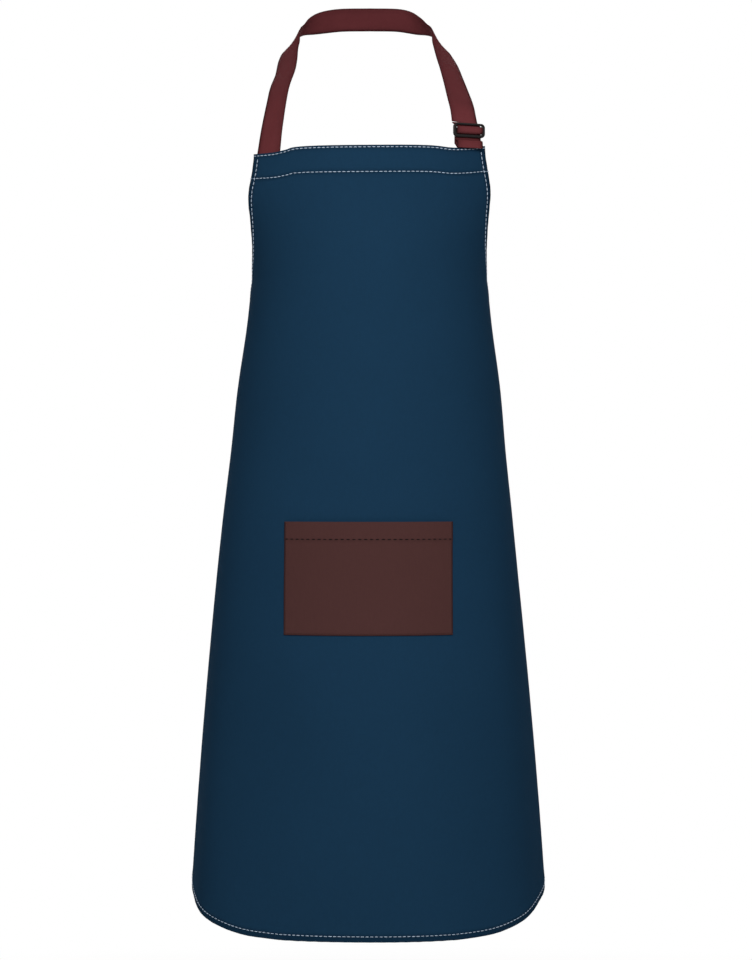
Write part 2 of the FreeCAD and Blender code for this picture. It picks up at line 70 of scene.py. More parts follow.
# the cut edge seen from the side: (place behind the body's middle, level below the top edge)
BIB_CORNER = (-0.073, 0.0)
ARMHOLE_MIDDLE = (-0.046, 0.072)
ARMHOLE_END = (-0.004, 0.135)
TIE_CORNER = (0.078, 0.232)
BACK_EDGE = 0.060
# the rounded bottom corner, a little straighter than a circle where it turns to the front
HEM_LINE = [
    (BACK_EDGE, 0.702), (0.052, 0.756), (0.032, 0.794), (0.003, 0.8190), (-0.026, 0.8325),
    (-0.051, 0.8437), (-0.073, 0.8524), (-0.093, 0.8590), (-0.112, 0.8616),
]
HEM_LEVEL = HEM_LINE[-1][1]
# the level at which the side hems become the bottom hem
HEM_PARTING = 0.70

TOP_HEM = 0.0290
SIDE_HEM = 0.010
EDGE_INSET = 0.0062
TOP_INSET = 0.0023
BAND_BOW = 0.0020

POCKET_LOW, POCKET_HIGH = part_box("pocket_cloth")
POCKET_TOP = TOP_Z - POCKET_HIGH[2] + 0.0012
POCKET_BOTTOM = TOP_Z - POCKET_LOW[2] + 0.0012
POCKET_ASIDE = 0.0016
POCKET_HEM = 0.019
POCKET_SEAM = 0.002

STITCH_PITCH = 0.0050
STITCH_LENGTH = 0.0042
THREAD = 0.00090

STRAP_WIDTH = 0.0304
STRAP_THICK = 0.0013
NAPE_LEAN = math.radians(42)

SLIDER_LOW, SLIDER_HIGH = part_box("slider_frame")
SLIDER_YAW = math.radians(24)

FLOOR_RADIUS = 2.6
FLOOR_DROP = 0.48
FLOOR_GLOW = 0.5
WORLD_LIGHT = 0.11
KEY_LIGHT = 28.5


def smooth(value):
    """0 below 0, 1 above 1, and a soft step between."""
    value = np.clip(value, 0.0, 1.0)
    return value * value * (3 - 2 * value)


def through_points(points, per_span):
    """A smooth curve through points, per_span steps between each two, as numpy rows."""
    route = np.array(points, dtype=float)
    padded = np.vstack([2 * route[0] - route[1], route, 2 * route[-1] - route[-2]])
    steps = np.linspace(0, 1, per_span, endpoint=False)[:, None]
    spans = []
    for p0, p1, p2, p3 in zip(padded, padded[1:], padded[2:], padded[3:]):
        curve = 2 * p1 + (p2 - p0) * steps + (2 * p0 - 5 * p1 + 4 * p2 - p3) * steps ** 2
        spans.append(0.5 * (curve + (3 * p1 - p0 - 3 * p2 + p3) * steps ** 3))
    return np.vstack(spans + [route[-1:]])


# how far the bib's top edge rises or sinks: (flat place across, rise)
BIB_RISE = through_points([
    (-0.150, -0.0050), (-0.112, -0.0052), (-0.094, -0.0030), (-0.076, -0.0002), (0.0, 0.0),
    (0.064, 0.0008), (0.092, -0.0006), (0.112, 0.0008), (0.140, 0.0042), (0.165, 0.0046),
], 6)


# ------------------------------------------------------------------ the worn body

def worn_section(level):
    """Half width and half depth of the worn body at levels."""
    level = np.asarray(level, dtype=float)
    rise = 1.0 - np.clip(level, -0.03, None) / WAIST_LEVEL
    bulge = np.clip(rise, 0, None) ** 1.5
    run = np.clip((level - WAIST_LEVEL) / (LENGTH - WAIST_LEVEL), 0, 1)
    flare = (1 + FLARE_CURVE) * run - FLARE_CURVE * run * run
    width = WAIST_HALF[0] + (CHEST_HALF[0] - WAIST_HALF[0]) * bulge
    depth = WAIST_HALF[1] + (CHEST_HALF[1] - WAIST_HALF[1]) * bulge
    width = width + (HEM_HALF[0] - WAIST_HALF[0]) * flare
    width = width + 0.0042 * np.exp(-((level - 0.046) / 0.022) ** 2) - 0.0014 * np.exp(-(level / 0.016) ** 2)
    width = width - 0.0020 * np.exp(-((level - 0.106) / 0.024) ** 2)
    depth = depth + (HEM_HALF[1] - WAIST_HALF[1]) * flare
    return width, depth


ANGLES = np.linspace(0, 2.9, 500)


def arc_table(level):
    """Distance round the body from the front's middle, for ANGLES."""
    width, depth = worn_section(level)
    step = np.hypot(width * np.cos(ANGLES), depth * np.sin(ANGLES))
    middle = (step[1:] + step[:-1]) / 2 * np.diff(ANGLES)
    return np.concatenate(([0.0], np.cumsum(middle)))


def angle_at(across, level):
    """Angle round the body, from its front, of a flat place across."""
    return math.copysign(float(np.interp(abs(across), arc_table(level), ANGLES)), across)


def drape(angle, level):
    """Soft folds of the hanging cloth: slight in front, deeper behind, and pulled to the ties."""
    hang = smooth((level - 0.22) / 0.60)
    side = smooth((abs(angle) - 0.9) / 0.9)
    wave = 0.0009 * math.sin(4.3 * angle + 0.7) + 0.0006 * math.sin(9.1 * angle - 1.3)
    deep = 0.0028 * math.sin(7.4 * angle + 1.1 + 1.2 * level) * side
    place = TIE_CORNER[1] - level
    reach = abs(angle) - 2.2
    pull = math.exp(-((place / 0.11) ** 2)) * math.exp(-((reach / 0.9) ** 2))
    tug = 0.0016 * pull * math.sin(38 * place + 5 * reach)
    return float(hang) * (wave + deep) + tug


def bib_shift(across, level):
    """The bib's corners hang unevenly: pulled down at the sewn strap, held up by the slider's tab."""
    rise = float(np.interp(across, BIB_RISE[:, 0], BIB_RISE[:, 1]))
    return rise * math.exp(-(level / 0.070) ** 2)


def worn(across, level, lift):
    """Where a flat point lies when worn, lifted off the body."""
    angle = angle_at(across, level)
    width, depth = worn_section(level)
    width, depth = float(width), float(depth)
    point = Vector((width * math.sin(angle), BODY_Y - depth * math.cos(angle), 0))
    normal = Vector((math.sin(angle) / width, -math.cos(angle) / depth, 0)).normalized()
    point += normal * (lift + drape(angle, level))
    point.x -= 0.0026 * float(smooth((level - 0.15) / 0.35))
    point.z = TOP_Z - level + bib_shift(across, level)
    return point


# ------------------------------------------------------------------ the flat pattern

def circle_through(first, second, third):
    """Centre and radius of the circle through three points."""
    ax, ay = first
    bx, by = second
    cx, cy = third
    d = 2 * (ax * (by - cy) + bx * (cy - ay) + cx * (ay - by))
    a2, b2, c2 = ax * ax + ay * ay, bx * bx + by * by, cx * cx + cy * cy
    x = (a2 * (by - cy) + b2 * (cy - ay) + c2 * (ay - by)) / d
    y = (a2 * (cx - bx) + b2 * (ax - cx) + c2 * (bx - ax)) / d
    return (x, y), math.hypot(ax - x, ay - y)


ARM_CENTRE, ARM_RADIUS = circle_through(BIB_CORNER, ARMHOLE_MIDDLE, ARMHOLE_END)


HEM_SHAPE = through_points(HEM_LINE, 12)


def edge_place(level):
    """Where the cut edge lies behind the body's middle at a level."""
    if level <= ARMHOLE_END[1]:
        side = -1 if ARMHOLE_MIDDLE[0] < ARM_CENTRE[0] else 1
        return ARM_CENTRE[0] + side * math.sqrt(ARM_RADIUS ** 2 - (level - ARM_CENTRE[1]) ** 2)
    if level <= TIE_CORNER[1]:
        part = (level - ARMHOLE_END[1]) / (TIE_CORNER[1] - ARMHOLE_END[1])
        return ARMHOLE_END[0] + (TIE_CORNER[0] - ARMHOLE_END[0]) * part
    if level <= HEM_LINE[0][1]:
        part = (level - TIE_CORNER[1]) / (HEM_LINE[0][1] - TIE_CORNER[1])
        return TIE_CORNER[0] + (BACK_EDGE - TIE_CORNER[0]) * part
    return float(np.interp(level, HEM_SHAPE[:, 1], HEM_SHAPE[:, 0]))


def half_width(level):
    """Half of the flat cloth's width at a level."""
    depth = float(worn_section(level)[1])
    angle = math.acos(max(-1.0, min(1.0, -edge_place(level) / depth)))
    return float(np.interp(angle, ANGLES, arc_table(level)))


def spread(low, high, count):
    """Evenly spaced values without the last."""
    return [low + (high - low) * i / count for i in range(count)]


def shares_across(count):
    """Evenly spaced shares from -1 to 1, both included."""
    return [2 * i / count - 1 for i in range(count + 1)]


def corner_levels(count):
    """Levels down the rounded bottom corner, evenly spaced along it."""
    run = np.hypot(*np.diff(HEM_SHAPE, axis=0).T)
    along = np.concatenate(([0.0], np.cumsum(run)))
    return list(np.interp(np.linspace(0, along[-1], count + 1), along, HEM_SHAPE[:, 1]))


def cut_edge():
    """The right half of the cut edge in flat coordinates, from bib corner to the hem's middle."""
    levels = spread(0, ARMHOLE_END[1], 40) + spread(ARMHOLE_END[1], TIE_CORNER[1], 30)
    levels += spread(TIE_CORNER[1], HEM_LINE[0][1], 90) + corner_levels(60)
    points = [(half_width(level), level) for level in levels]
    last = points[-1][0]
    points += [(last * (1 - i / 40), HEM_LEVEL) for i in range(1, 41)]
    return np.array(points)


CUT_EDGE = cut_edge()
MIRROR = np.array([-1.0, 1.0])


def inset_edge(inset):
    """The cut edge moved in by an inset, with the same number of points."""
    along = np.gradient(CUT_EDGE, axis=0)
    along /= np.linalg.norm(along, axis=1)[:, None]
    inward = np.stack([-along[:, 1], along[:, 0]], axis=1)
    return CUT_EDGE + inward * inset


def edge_distance(points):
    """Distance of flat points from the side and bottom edge."""
    points = np.abs(np.asarray(points, dtype=float))
    best = np.full(len(points), 9.0)
    for start, end in zip(CUT_EDGE[:-1], CUT_EDGE[1:]):
        run = end - start
        part = np.clip(((points - start) @ run) / (run @ run), 0, 1)
        gap = points - (start + part[:, None] * run)
        best = np.minimum(best, np.hypot(gap[:, 0], gap[:, 1]))
    return best


# ------------------------------------------------------------------ mesh helpers

def new_mesh(name, points, faces, uvs=None, masks=None):
    """A mesh object from points and faces, with flat cloth coordinates as its UV map."""
    mesh = bpy.data.meshes.new(name)
    mesh.from_pydata([tuple(p) for p in points], [], faces)
    mesh.validate()
    if uvs is not None:
        layer = mesh.uv_layers.new(name="cloth")
        for loop in mesh.loops:
            layer.data[loop.index].uv = uvs[loop.vertex_index]
    for label, values in (masks or {}).items():
        field = mesh.attributes.new(label, "FLOAT", "POINT")
        field.data.foreach_set("value", [float(v) for v in values])
    mesh.polygons.foreach_set("use_smooth", [True] * len(mesh.polygons))
    item = bpy.data.objects.new(name, mesh)
    bpy.context.scene.collection.objects.link(item)
    return item


def grid_faces(rows, columns):
    """Quads over a grid of points given row by row."""
    faces = []
    for r in range(rows - 1):
        for c in range(columns - 1):
            a = r * columns + c
            faces.append((a, a + columns, a + columns + 1, a + 1))
    return faces


def thicken(item, thickness):
    """Gives a sheet its thickness, half to each side."""
    solid = item.modifiers.new("Thickness", "SOLIDIFY")
    solid.thickness = thickness
    solid.offset = 0.0
    solid.use_even_offset = True
    solid.use_quality_normals = True


def sheet_piece(name, levels, row_points, lift, thickness, masks=None, aside=0.0):
    """A cloth piece worn from rows of flat points; lift may be a number or a function."""
    rows = [row_points(level) for level in levels]
    columns = len(rows[0])
    flat = [point for row in rows for point in row]
    height = lift if callable(lift) else (lambda across, level: lift)
    points = [worn(a + aside, l, height(a, l)) for a, l in flat]
    values = {key: make(flat) for key, make in (masks or {}).items()}
    item = new_mesh(name, points, grid_faces(len(rows), columns), flat, values)
    thicken(item, thickness)
    return item


def set_material(item, material):
    """Gives a piece its one material."""
    item.data.materials.clear()
    item.data.materials.append(material)


def stands_for(item, node, body="apron"):
    """Says which body a piece rides on, which node it replaces."""
    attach(item, body)
    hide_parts(node)


# ------------------------------------------------------------------ shader groups and materials

def new_group(name, inputs, outputs):
    """A shader node group with named number or vector inputs and outputs."""
    group = bpy.data.node_groups.new(name, "ShaderNodeTree")
    kinds = {"v": "NodeSocketVector", "f": "NodeSocketFloat", "c": "NodeSocketColor"}
    for label, kind, default in inputs:
        socket = group.interface.new_socket(label, in_out="INPUT", socket_type=kinds[kind])
        if default is not None:
            socket.default_value = default
    for label, kind in outputs:
        group.interface.new_socket(label, in_out="OUTPUT", socket_type=kinds[kind])
    return group, group.nodes.new("NodeGroupInput"), group.nodes.new("NodeGroupOutput")


def calc(tree, operation, *values):
    """A math node with each input a number or another node's output."""
    node = tree.nodes.new("ShaderNodeMath")
    node.operation = operation
    for index, value in enumerate(values):
        if isinstance(value, (int, float)):
            node.inputs[index].default_value = value
        else:
            tree.links.new(value, node.inputs[index])
    return node.outputs[0]


def weave_group():
    """Twill weave: slanted ribs of warp crossed by fine weft, and uneven yarns."""
    group, start, end = new_group(
        "Twill Weave",
        [("Flat", "v", None), ("Ribs", "f", 1500.0), ("Slant", "f", 0.7), ("Unevenness", "f", 0.5)],
        [("Height", "f"), ("Yarn", "f")])
    split = group.nodes.new("ShaderNodeSeparateXYZ")
    group.links.new(start.outputs["Flat"], split.inputs[0])
    across, down = split.outputs[0], split.outputs[1]
    slide = calc(group, "MULTIPLY", down, start.outputs["Slant"])
    diagonal = calc(group, "MULTIPLY", calc(group, "ADD", across, slide), start.outputs["Ribs"])
    rib = calc(group, "SINE", calc(group, "MULTIPLY", diagonal, 2 * math.pi))
    picks = calc(group, "MULTIPLY", down, start.outputs["Ribs"])
    weft = calc(group, "SINE", calc(group, "MULTIPLY", picks, 3 * math.pi))
    slub = group.nodes.new("ShaderNodeTexNoise")
    stretch = group.nodes.new("ShaderNodeMapping")
    stretch.inputs["Scale"].default_value = (900, 60, 1)
    group.links.new(start.outputs["Flat"], stretch.inputs[0])
    group.links.new(stretch.outputs[0], slub.inputs["Vector"])
    slub.inputs["Scale"].default_value = 1.0
    slub.inputs["Detail"].default_value = 3.0
    ribbed = calc(group, "ADD", calc(group, "MULTIPLY", rib, 0.34), calc(group, "MULTIPLY", weft, 0.12))
    lumps = calc(group, "SUBTRACT", slub.outputs[0], 0.5)
    uneven = calc(group, "MULTIPLY", lumps, start.outputs["Unevenness"])
    height = calc(group, "ADD", calc(group, "ADD", ribbed, 0.5), uneven)
    group.links.new(height, end.inputs["Height"])
    group.links.new(slub.outputs[0], end.inputs["Yarn"])
    return group


def tone_group():
    """Slow colour change over cloth: washed patches and fine flecks."""
    group, start, end = new_group(
        "Cloth Tone",
        [("Place", "v", None), ("Patch Size", "f", 6.0), ("Fleck Size", "f", 260.0), ("Amount", "f", 0.15)],
        [("Tone", "f"), ("Fleck", "f")])
    patch = group.nodes.new("ShaderNodeTexNoise")
    fleck = group.nodes.new("ShaderNodeTexNoise")
    for noise, label, detail in ((patch, "Patch Size", 3.0), (fleck, "Fleck Size", 2.0)):
        group.links.new(start.outputs["Place"], noise.inputs["Vector"])
        group.links.new(start.outputs[label], noise.inputs["Scale"])
        noise.inputs["Detail"].default_value = detail
    mixed = calc(group, "ADD", calc(group, "MULTIPLY", calc(group, "SUBTRACT", patch.outputs[0], 0.5), 1.4),
                 calc(group, "MULTIPLY", calc(group, "SUBTRACT", fleck.outputs[0], 0.5), 0.8))
    tone = calc(group, "ADD", calc(group, "MULTIPLY", mixed, start.outputs["Amount"]), 1.0)
    group.links.new(tone, end.inputs["Tone"])
    group.links.new(fleck.outputs[0], end.inputs["Fleck"])
    return group


def webbing_group():
    """Woven webbing: cross ribs, a herringbone change at the middle, and denser edges, whose mask also gives
    the painted shade along the strap's edges.
    """
    group, start, end = new_group(
        "Webbing Weave",
        [("Flat", "v", None), ("Ribs", "f", 900.0), ("Half Width", "f", STRAP_WIDTH / 2)],
        [("Height", "f"), ("Edge", "f")])
    split = group.nodes.new("ShaderNodeSeparateXYZ")
    group.links.new(start.outputs["Flat"], split.inputs[0])
    across, along = split.outputs[0], split.outputs[1]
    outward = calc(group, "ABSOLUTE", across)
    zigzag = calc(group, "PINGPONG", across, 0.0032)
    rib = calc(group, "SINE", calc(group, "MULTIPLY", calc(group, "ADD", along, zigzag),
                                   calc(group, "MULTIPLY", start.outputs["Ribs"], 2 * math.pi)))
    cord = calc(group, "SINE", calc(group, "MULTIPLY", across, 2 * math.pi * 800))
    share = calc(group, "DIVIDE", outward, start.outputs["Half Width"])
    edge = calc(group, "SMOOTH_MIN", calc(group, "POWER", share, 4.5), 1.0, 0.1)
    body = calc(group, "ADD", calc(group, "MULTIPLY", rib, 0.3), calc(group, "MULTIPLY", cord, 0.2))
    group.links.new(calc(group, "ADD", body, calc(group, "MULTIPLY", edge, 0.6)), end.inputs["Height"])
    group.links.new(edge, end.inputs["Edge"])
    return group


WEAVE = weave_group()
TONE = tone_group()
WEBBING = webbing_group()


def start_material(name, roughness, sheen=0.0):
    """A dull material, its node tree and its shader."""
    material = bpy.data.materials.new(name)
    material.use_nodes = True
    tree = material.node_tree
    shader = tree.nodes["Principled BSDF"]
    shader.inputs["Roughness"].default_value = roughness
    shader.inputs["Sheen Weight"].default_value = sheen
    shader.inputs["Sheen Roughness"].default_value = 0.5
    shader.inputs["Specular IOR Level"].default_value = 0.02
    return material, tree, shader


def use_group(tree, group, **values):
    """A group node with its inputs set to numbers or linked to outputs."""
    node = tree.nodes.new("ShaderNodeGroup")
    node.node_tree = group
    for label, value in values.items():
        socket = node.inputs[label.replace("_", " ")]
        if isinstance(value, (int, float)):
            socket.default_value = value
        else:
            tree.links.new(value, socket)
    return node


def coordinates(tree, kind):
    """Flat cloth coordinates or the object's own place."""
    if kind == "flat":
        node = tree.nodes.new("ShaderNodeUVMap")
        node.uv_map = "cloth"
        return node.outputs[0]
    return tree.nodes.new("ShaderNodeTexCoord").outputs["Object"]


def shaded(tree, colour, *factors):
    """A colour times grey factors."""
    last = None
    for factor in factors:
        mix = tree.nodes.new("ShaderNodeVectorMath")
        mix.operation = "SCALE"
        if last is None:
            mix.inputs[0].default_value = colour
        else:
            tree.links.new(last, mix.inputs[0])
        tree.links.new(factor, mix.inputs["Scale"])
        last = mix.outputs[0]
    return last


def bump(tree, shader, heights):
    """Bumps in a chain, each of (height, strength, distance)."""
    last = None
    for height, strength, distance in heights:
        node = tree.nodes.new("ShaderNodeBump")
        node.inputs["Strength"].default_value = strength
        node.inputs["Distance"].default_value = distance
        tree.links.new(height, node.inputs["Height"])
        if last is not None:
            tree.links.new(last, node.inputs["Normal"])
        last = node.outputs[0]
    tree.links.new(last, shader.inputs["Normal"])


def attribute(tree, name):
    """The value of a point attribute."""
    node = tree.nodes.new("ShaderNodeAttribute")
    node.attribute_name = name
    return node.outputs["Fac"]


def cloth_material(name, colour, ribs, amount, seam_shade):
    """Twill cloth with washed patches, yarn flecks, puckers along its seams, and painted shade that darkens
    it along its seams.
    """
    material, tree, shader = start_material(name, 0.86)
    flat = coordinates(tree, "flat")
    place = coordinates(tree, "object")
    weave = use_group(tree, WEAVE, Flat=flat, Ribs=ribs)
    tone = use_group(tree, TONE, Place=place, Amount=amount)
    seam = attribute(tree, "seam")
    fine = calc(tree, "ADD", calc(tree, "MULTIPLY", weave.outputs["Height"], 0.22), 0.89)
    # painted shade: the cloth's colour is darkened along the seam mask, as shadow lines at its stitches and
    # edges
    painted_seam_shade = calc(tree, "SUBTRACT", 1.0, calc(tree, "MULTIPLY", seam, seam_shade))
    tree.links.new(shaded(tree, colour, fine, tone.outputs["Tone"], painted_seam_shade), shader.inputs["Base Color"])
    rough = calc(tree, "ADD", calc(tree, "MULTIPLY", tone.outputs["Fleck"], 0.16), 0.76)
    tree.links.new(rough, shader.inputs["Roughness"])
    pucker = tree.nodes.new("ShaderNodeTexNoise")
    pucker.inputs["Scale"].default_value = 130.0
    pucker.inputs["Detail"].default_value = 2.0
    tree.links.new(place, pucker.inputs["Vector"])
    gathered = calc(tree, "MULTIPLY", pucker.outputs[0], seam)
    bump(tree, shader, [(weave.outputs["Height"], 0.35, 0.0002), (gathered, 0.5, 0.0016)])
    return material


def strap_material(name, colour, edge_shade):
    """Woven webbing, with painted shade darkening it towards both edges."""
    material, tree, shader = start_material(name, 0.8)
    flat = coordinates(tree, "flat")
    place = coordinates(tree, "object")
    weave = use_group(tree, WEBBING, Flat=flat)
    tone = use_group(tree, TONE, Place=place, Amount=0.22, Patch_Size=34.0, Fleck_Size=420.0)
    ribs = calc(tree, "ADD", calc(tree, "MULTIPLY", weave.outputs["Height"], 0.16), 0.94)
    # painted shade: the webbing's colour is darkened towards both edges by the edge mask
    dark = calc(tree, "SUBTRACT", 1.0, calc(tree, "MULTIPLY", weave.outputs["Edge"], edge_shade))
    tree.links.new(shaded(tree, colour, ribs, tone.outputs["Tone"], dark), shader.inputs["Base Color"])
    rough = calc(tree, "ADD", calc(tree, "MULTIPLY", tone.outputs["Fleck"], 0.2), 0.66)
    tree.links.new(rough, shader.inputs["Roughness"])
    bump(tree, shader, [(weave.outputs["Height"], 0.5, 0.0003)])
    return material


def thread_material(name, colour):
    """Twisted sewing thread: fine plies across each stitch."""
    material, tree, shader = start_material(name, 0.7, 0.1)
    place = coordinates(tree, "object")
    ply = tree.nodes.new("ShaderNodeTexNoise")
    ply.inputs["Scale"].default_value = 2600.0
    ply.inputs["Detail"].default_value = 1.0
    tree.links.new(place, ply.inputs["Vector"])
    tone = use_group(tree, TONE, Place=place, Amount=0.3, Patch_Size=60.0, Fleck_Size=900.0)
    fuzz = calc(tree, "ADD", calc(tree, "MULTIPLY", ply.outputs[0], 0.3), 0.85)
    tree.links.new(shaded(tree, colour, fuzz, tone.outputs["Tone"]), shader.inputs["Base Color"])
    bump(tree, shader, [(ply.outputs[0], 0.4, 0.0002)])
    return material


def plastic_material(name, colour):
    """Moulded acetal plastic: a faint grain, handled smoother in patches."""
    material, tree, shader = start_material(name, 0.4)
    shader.inputs["Specular IOR Level"].default_value = 0.16
    place = coordinates(tree, "object")
    tone = use_group(tree, TONE, Place=place, Amount=0.35, Patch_Size=120.0, Fleck_Size=1800.0)
    rough = calc(tree, "ADD", calc(tree, "MULTIPLY", tone.outputs["Fleck"], 0.3), 0.28)
    tree.links.new(rough, shader.inputs["Roughness"])
    tree.links.new(shaded(tree, colour, tone.outputs["Tone"]), shader.inputs["Base Color"])
    bump(tree, shader, [(tone.outputs["Fleck"], 0.25, 0.0002)])
    return material


# the last number of each cloth is how dark its painted shade along the seams is
NAVY = cloth_material("Navy Twill", (0.0122, 0.0468, 0.0960), 1400.0, 0.16, 0.34)
POCKET_BROWN = cloth_material("Brown Twill", (0.0930, 0.0395, 0.0372), 1400.0, 0.10, 0.06)
WEBBING_BROWN = strap_material("Brown Webbing", (0.186, 0.0430, 0.0480), 0.60)
PALE_THREAD = thread_material("Pale Thread", (0.60, 0.73, 0.90))
DARK_THREAD = thread_material("Dark Thread", (0.012, 0.006, 0.006))
SLIDER_BLACK = plastic_material("Slider Plastic", (0.008, 0.006, 0.006))
POCKET_THREAD = thread_material("Brown Thread", (0.060, 0.024, 0.023))


# ------------------------------------------------------------------ panel and hems

def panel_levels():
    """Levels of the panel's rows of points, closer together at the top hem and the corner."""
    levels = spread(0, TOP_HEM + 0.003, 12) + spread(TOP_HEM + 0.003, ARMHOLE_END[1], 22)
    levels += spread(ARMHOLE_END[1], TIE_CORNER[1], 20) + spread(TIE_CORNER[1], HEM_LINE[0][1], 70)
    return levels + corner_levels(50)


EDGE_COLUMNS = [0.0, 0.0025, 0.005, 0.0075, 0.0105, 0.014]
INNER_COLUMNS = 110


def panel_row(level):
    """Flat points across the panel, closer together at the hems."""
    half = half_width(level)
    inner = half - EDGE_COLUMNS[-1]
    left = [-(half - step) for step in EDGE_COLUMNS[:-1]]
    middle = [-inner + 2 * inner * i / INNER_COLUMNS for i in range(INNER_COLUMNS + 1)]
    right = [half - step for step in reversed(EDGE_COLUMNS[:-1])]
    return [(across, level) for across in left + middle + right]


def seam_mask(flat):
    """1 along the rows of stitches, fading over a few millimetres."""
    points = np.array(flat)
    near_edge = np.clip(edge_distance(points) - EDGE_INSET, 0, None)
    band = TOP_HEM - BAND_BOW * (points[:, 0] / half_width(TOP_HEM)) ** 2
    near_top = np.minimum(np.abs(points[:, 1] - TOP_INSET), np.abs(points[:, 1] - band))
    return 1 - smooth(np.minimum(near_edge, near_top) / 0.0045)


def panel_lift():
    """The outer cloth rides over its turned hems and dips at the stitches."""
    flat = [point for level in panel_levels() for point in panel_row(level)]
    gap = edge_distance(flat)
    seam = seam_mask(flat)
    table = {}
    for point, distance, dip in zip(flat, gap, seam):
        hem = (1 - smooth((distance - SIDE_HEM) / 0.004)) + (1 - smooth((point[1] - TOP_HEM) / 0.004))
        ripple = math.sin(point[0] * 420) * math.sin(point[1] * 390)
        height = CLOTH * 0.5 + 0.0003 * min(1.0, float(hem)) - 0.00035 * float(dip)
        table[point] = height + 0.00018 * float(dip) * ripple
    return lambda across, level: table[(across, level)]


def build_panel():
    """The apron's one large piece of cloth."""
    levels = panel_levels()
    panel = sheet_piece("apron_cloth", levels, panel_row, panel_lift(), CLOTH * 0.9, {"seam": seam_mask})
    set_material(panel, NAVY)
    stands_for(panel, "apron_panel")


def strip_between(name, outer, inner, lift, node, columns=4):
    """A hem layer between two flat lines with the same number of points."""
    flat = []
    for start, end in zip(outer, inner):
        flat += [tuple(start + (end - start) * i / (columns - 1)) for i in range(columns)]
    points = [worn(a, l, lift) for a, l in flat]
    zeros = {"seam": np.zeros(len(flat))}
    item = new_mesh(name, points, grid_faces(len(outer), columns), flat, zeros)
    thicken(item, CLOTH * 0.9)
    set_material(item, NAVY)
    stands_for(item, node)


def build_hems():
    """The turned hems on the inside: folded cloth just under the panel."""
    lift = -CLOTH * 0.7
    outer = inset_edge(0.0006)
    inner = inset_edge(SIDE_HEM)
    split = int(np.argmax(outer[:, 1] > HEM_PARTING))
    first = int(np.argmax(outer[:, 1] > TOP_HEM))
    side_outer, side_inner = outer[first:split + 1], inner[first:split + 1]
    strip_between("right_side_hem", side_outer, side_inner, lift, "side_hem_right")
    strip_between("left_side_hem", side_outer * MIRROR, side_inner * MIRROR, lift, "side_hem_left")
    low_outer = np.concatenate([outer[split:], (outer[split:-1] * MIRROR)[::-1]])
    low_inner = np.concatenate([inner[split:], (inner[split:-1] * MIRROR)[::-1]])
    strip_between("low_hem", low_outer, low_inner, lift, "bottom_hem")
    top_half = half_width(0.0) - 0.001
    low_half = half_width(TOP_HEM) - 0.001
    shares = shares_across(60)
    top = np.array([(top_half * share, 0.0006) for share in shares])
    low = np.array([(low_half * share, TOP_HEM) for share in shares])
    strip_between("deep_top_hem", top, low, lift, "top_hem", columns=8)


# ------------------------------------------------------------------ stitches

def stitch_tree():
    """Geometry nodes: short rounded stitches laid along a curve at an even pitch."""
    tree = bpy.data.node_groups.new("Stitch Row", "GeometryNodeTree")
    face = tree.interface
    face.new_socket("Row", in_out="INPUT", socket_type="NodeSocketGeometry")
    sizes = [("Pitch", STITCH_PITCH), ("Stitch Length", STITCH_LENGTH), ("Thread", THREAD),
             ("Unevenness", 0.12)]
    for label, default in sizes:
        face.new_socket(label, in_out="INPUT", socket_type="NodeSocketFloat").default_value = default
    face.new_socket("Seed", in_out="INPUT", socket_type="NodeSocketInt").default_value = 3
    face.new_socket("Thread Material", in_out="INPUT", socket_type="NodeSocketMaterial")
    face.new_socket("Stitches", in_out="OUTPUT", socket_type="NodeSocketGeometry")
    nodes, links = tree.nodes, tree.links
    start = nodes.new("NodeGroupInput")
    end = nodes.new("NodeGroupOutput")
    points = nodes.new("GeometryNodeCurveToPoints")
    points.mode = "LENGTH"
    links.new(start.outputs["Row"], points.inputs["Curve"])
    links.new(start.outputs["Pitch"], points.inputs["Length"])
    ball = nodes.new("GeometryNodeMeshUVSphere")
    ball.inputs["Segments"].default_value = 8
    ball.inputs["Rings"].default_value = 6
    ball.inputs["Radius"].default_value = 0.5
    shape = nodes.new("ShaderNodeCombineXYZ")
    links.new(start.outputs["Thread"], shape.inputs[0])
    links.new(start.outputs["Thread"], shape.inputs[1])
    links.new(start.outputs["Stitch Length"], shape.inputs[2])
    scale = nodes.new("GeometryNodeTransform")
    links.new(ball.outputs["Mesh"], scale.inputs["Geometry"])
    links.new(shape.outputs[0], scale.inputs["Scale"])
    jitter = nodes.new("FunctionNodeRandomValue")
    jitter.data_type = "FLOAT"
    links.new(start.outputs["Seed"], jitter.inputs["Seed"])
    spread_node = nodes.new("ShaderNodeMath")
    spread_node.operation = "SUBTRACT"
    spread_node.inputs[0].default_value = 1.0
    links.new(start.outputs["Unevenness"], spread_node.inputs[1])
    links.new(spread_node.outputs[0], jitter.inputs[2])
    jitter.inputs[3].default_value = 1.0
    place = nodes.new("GeometryNodeInstanceOnPoints")
    links.new(points.outputs["Points"], place.inputs["Points"])
    links.new(scale.outputs["Geometry"], place.inputs["Instance"])
    links.new(points.outputs["Rotation"], place.inputs["Rotation"])
    links.new(jitter.outputs[1], place.inputs["Scale"])
    real = nodes.new("GeometryNodeRealizeInstances")
    links.new(place.outputs["Instances"], real.inputs["Geometry"])
    shade = nodes.new("GeometryNodeSetShadeSmooth")
    links.new(real.outputs["Geometry"], shade.inputs["Geometry"])
    paint = nodes.new("GeometryNodeSetMaterial")
    links.new(shade.outputs["Geometry"], paint.inputs["Geometry"])
    links.new(start.outputs["Thread Material"], paint.inputs["Material"])
    links.new(paint.outputs["Geometry"], end.inputs["Stitches"])
    return tree


STITCH_TREE = stitch_tree()


def socket_name(tree, label):
    """The identifier of a node tree's input, from its label."""
    for item in tree.interface.items_tree:
        if item.name == label and item.in_out == "INPUT":
            return item.identifier
    raise KeyError(label)


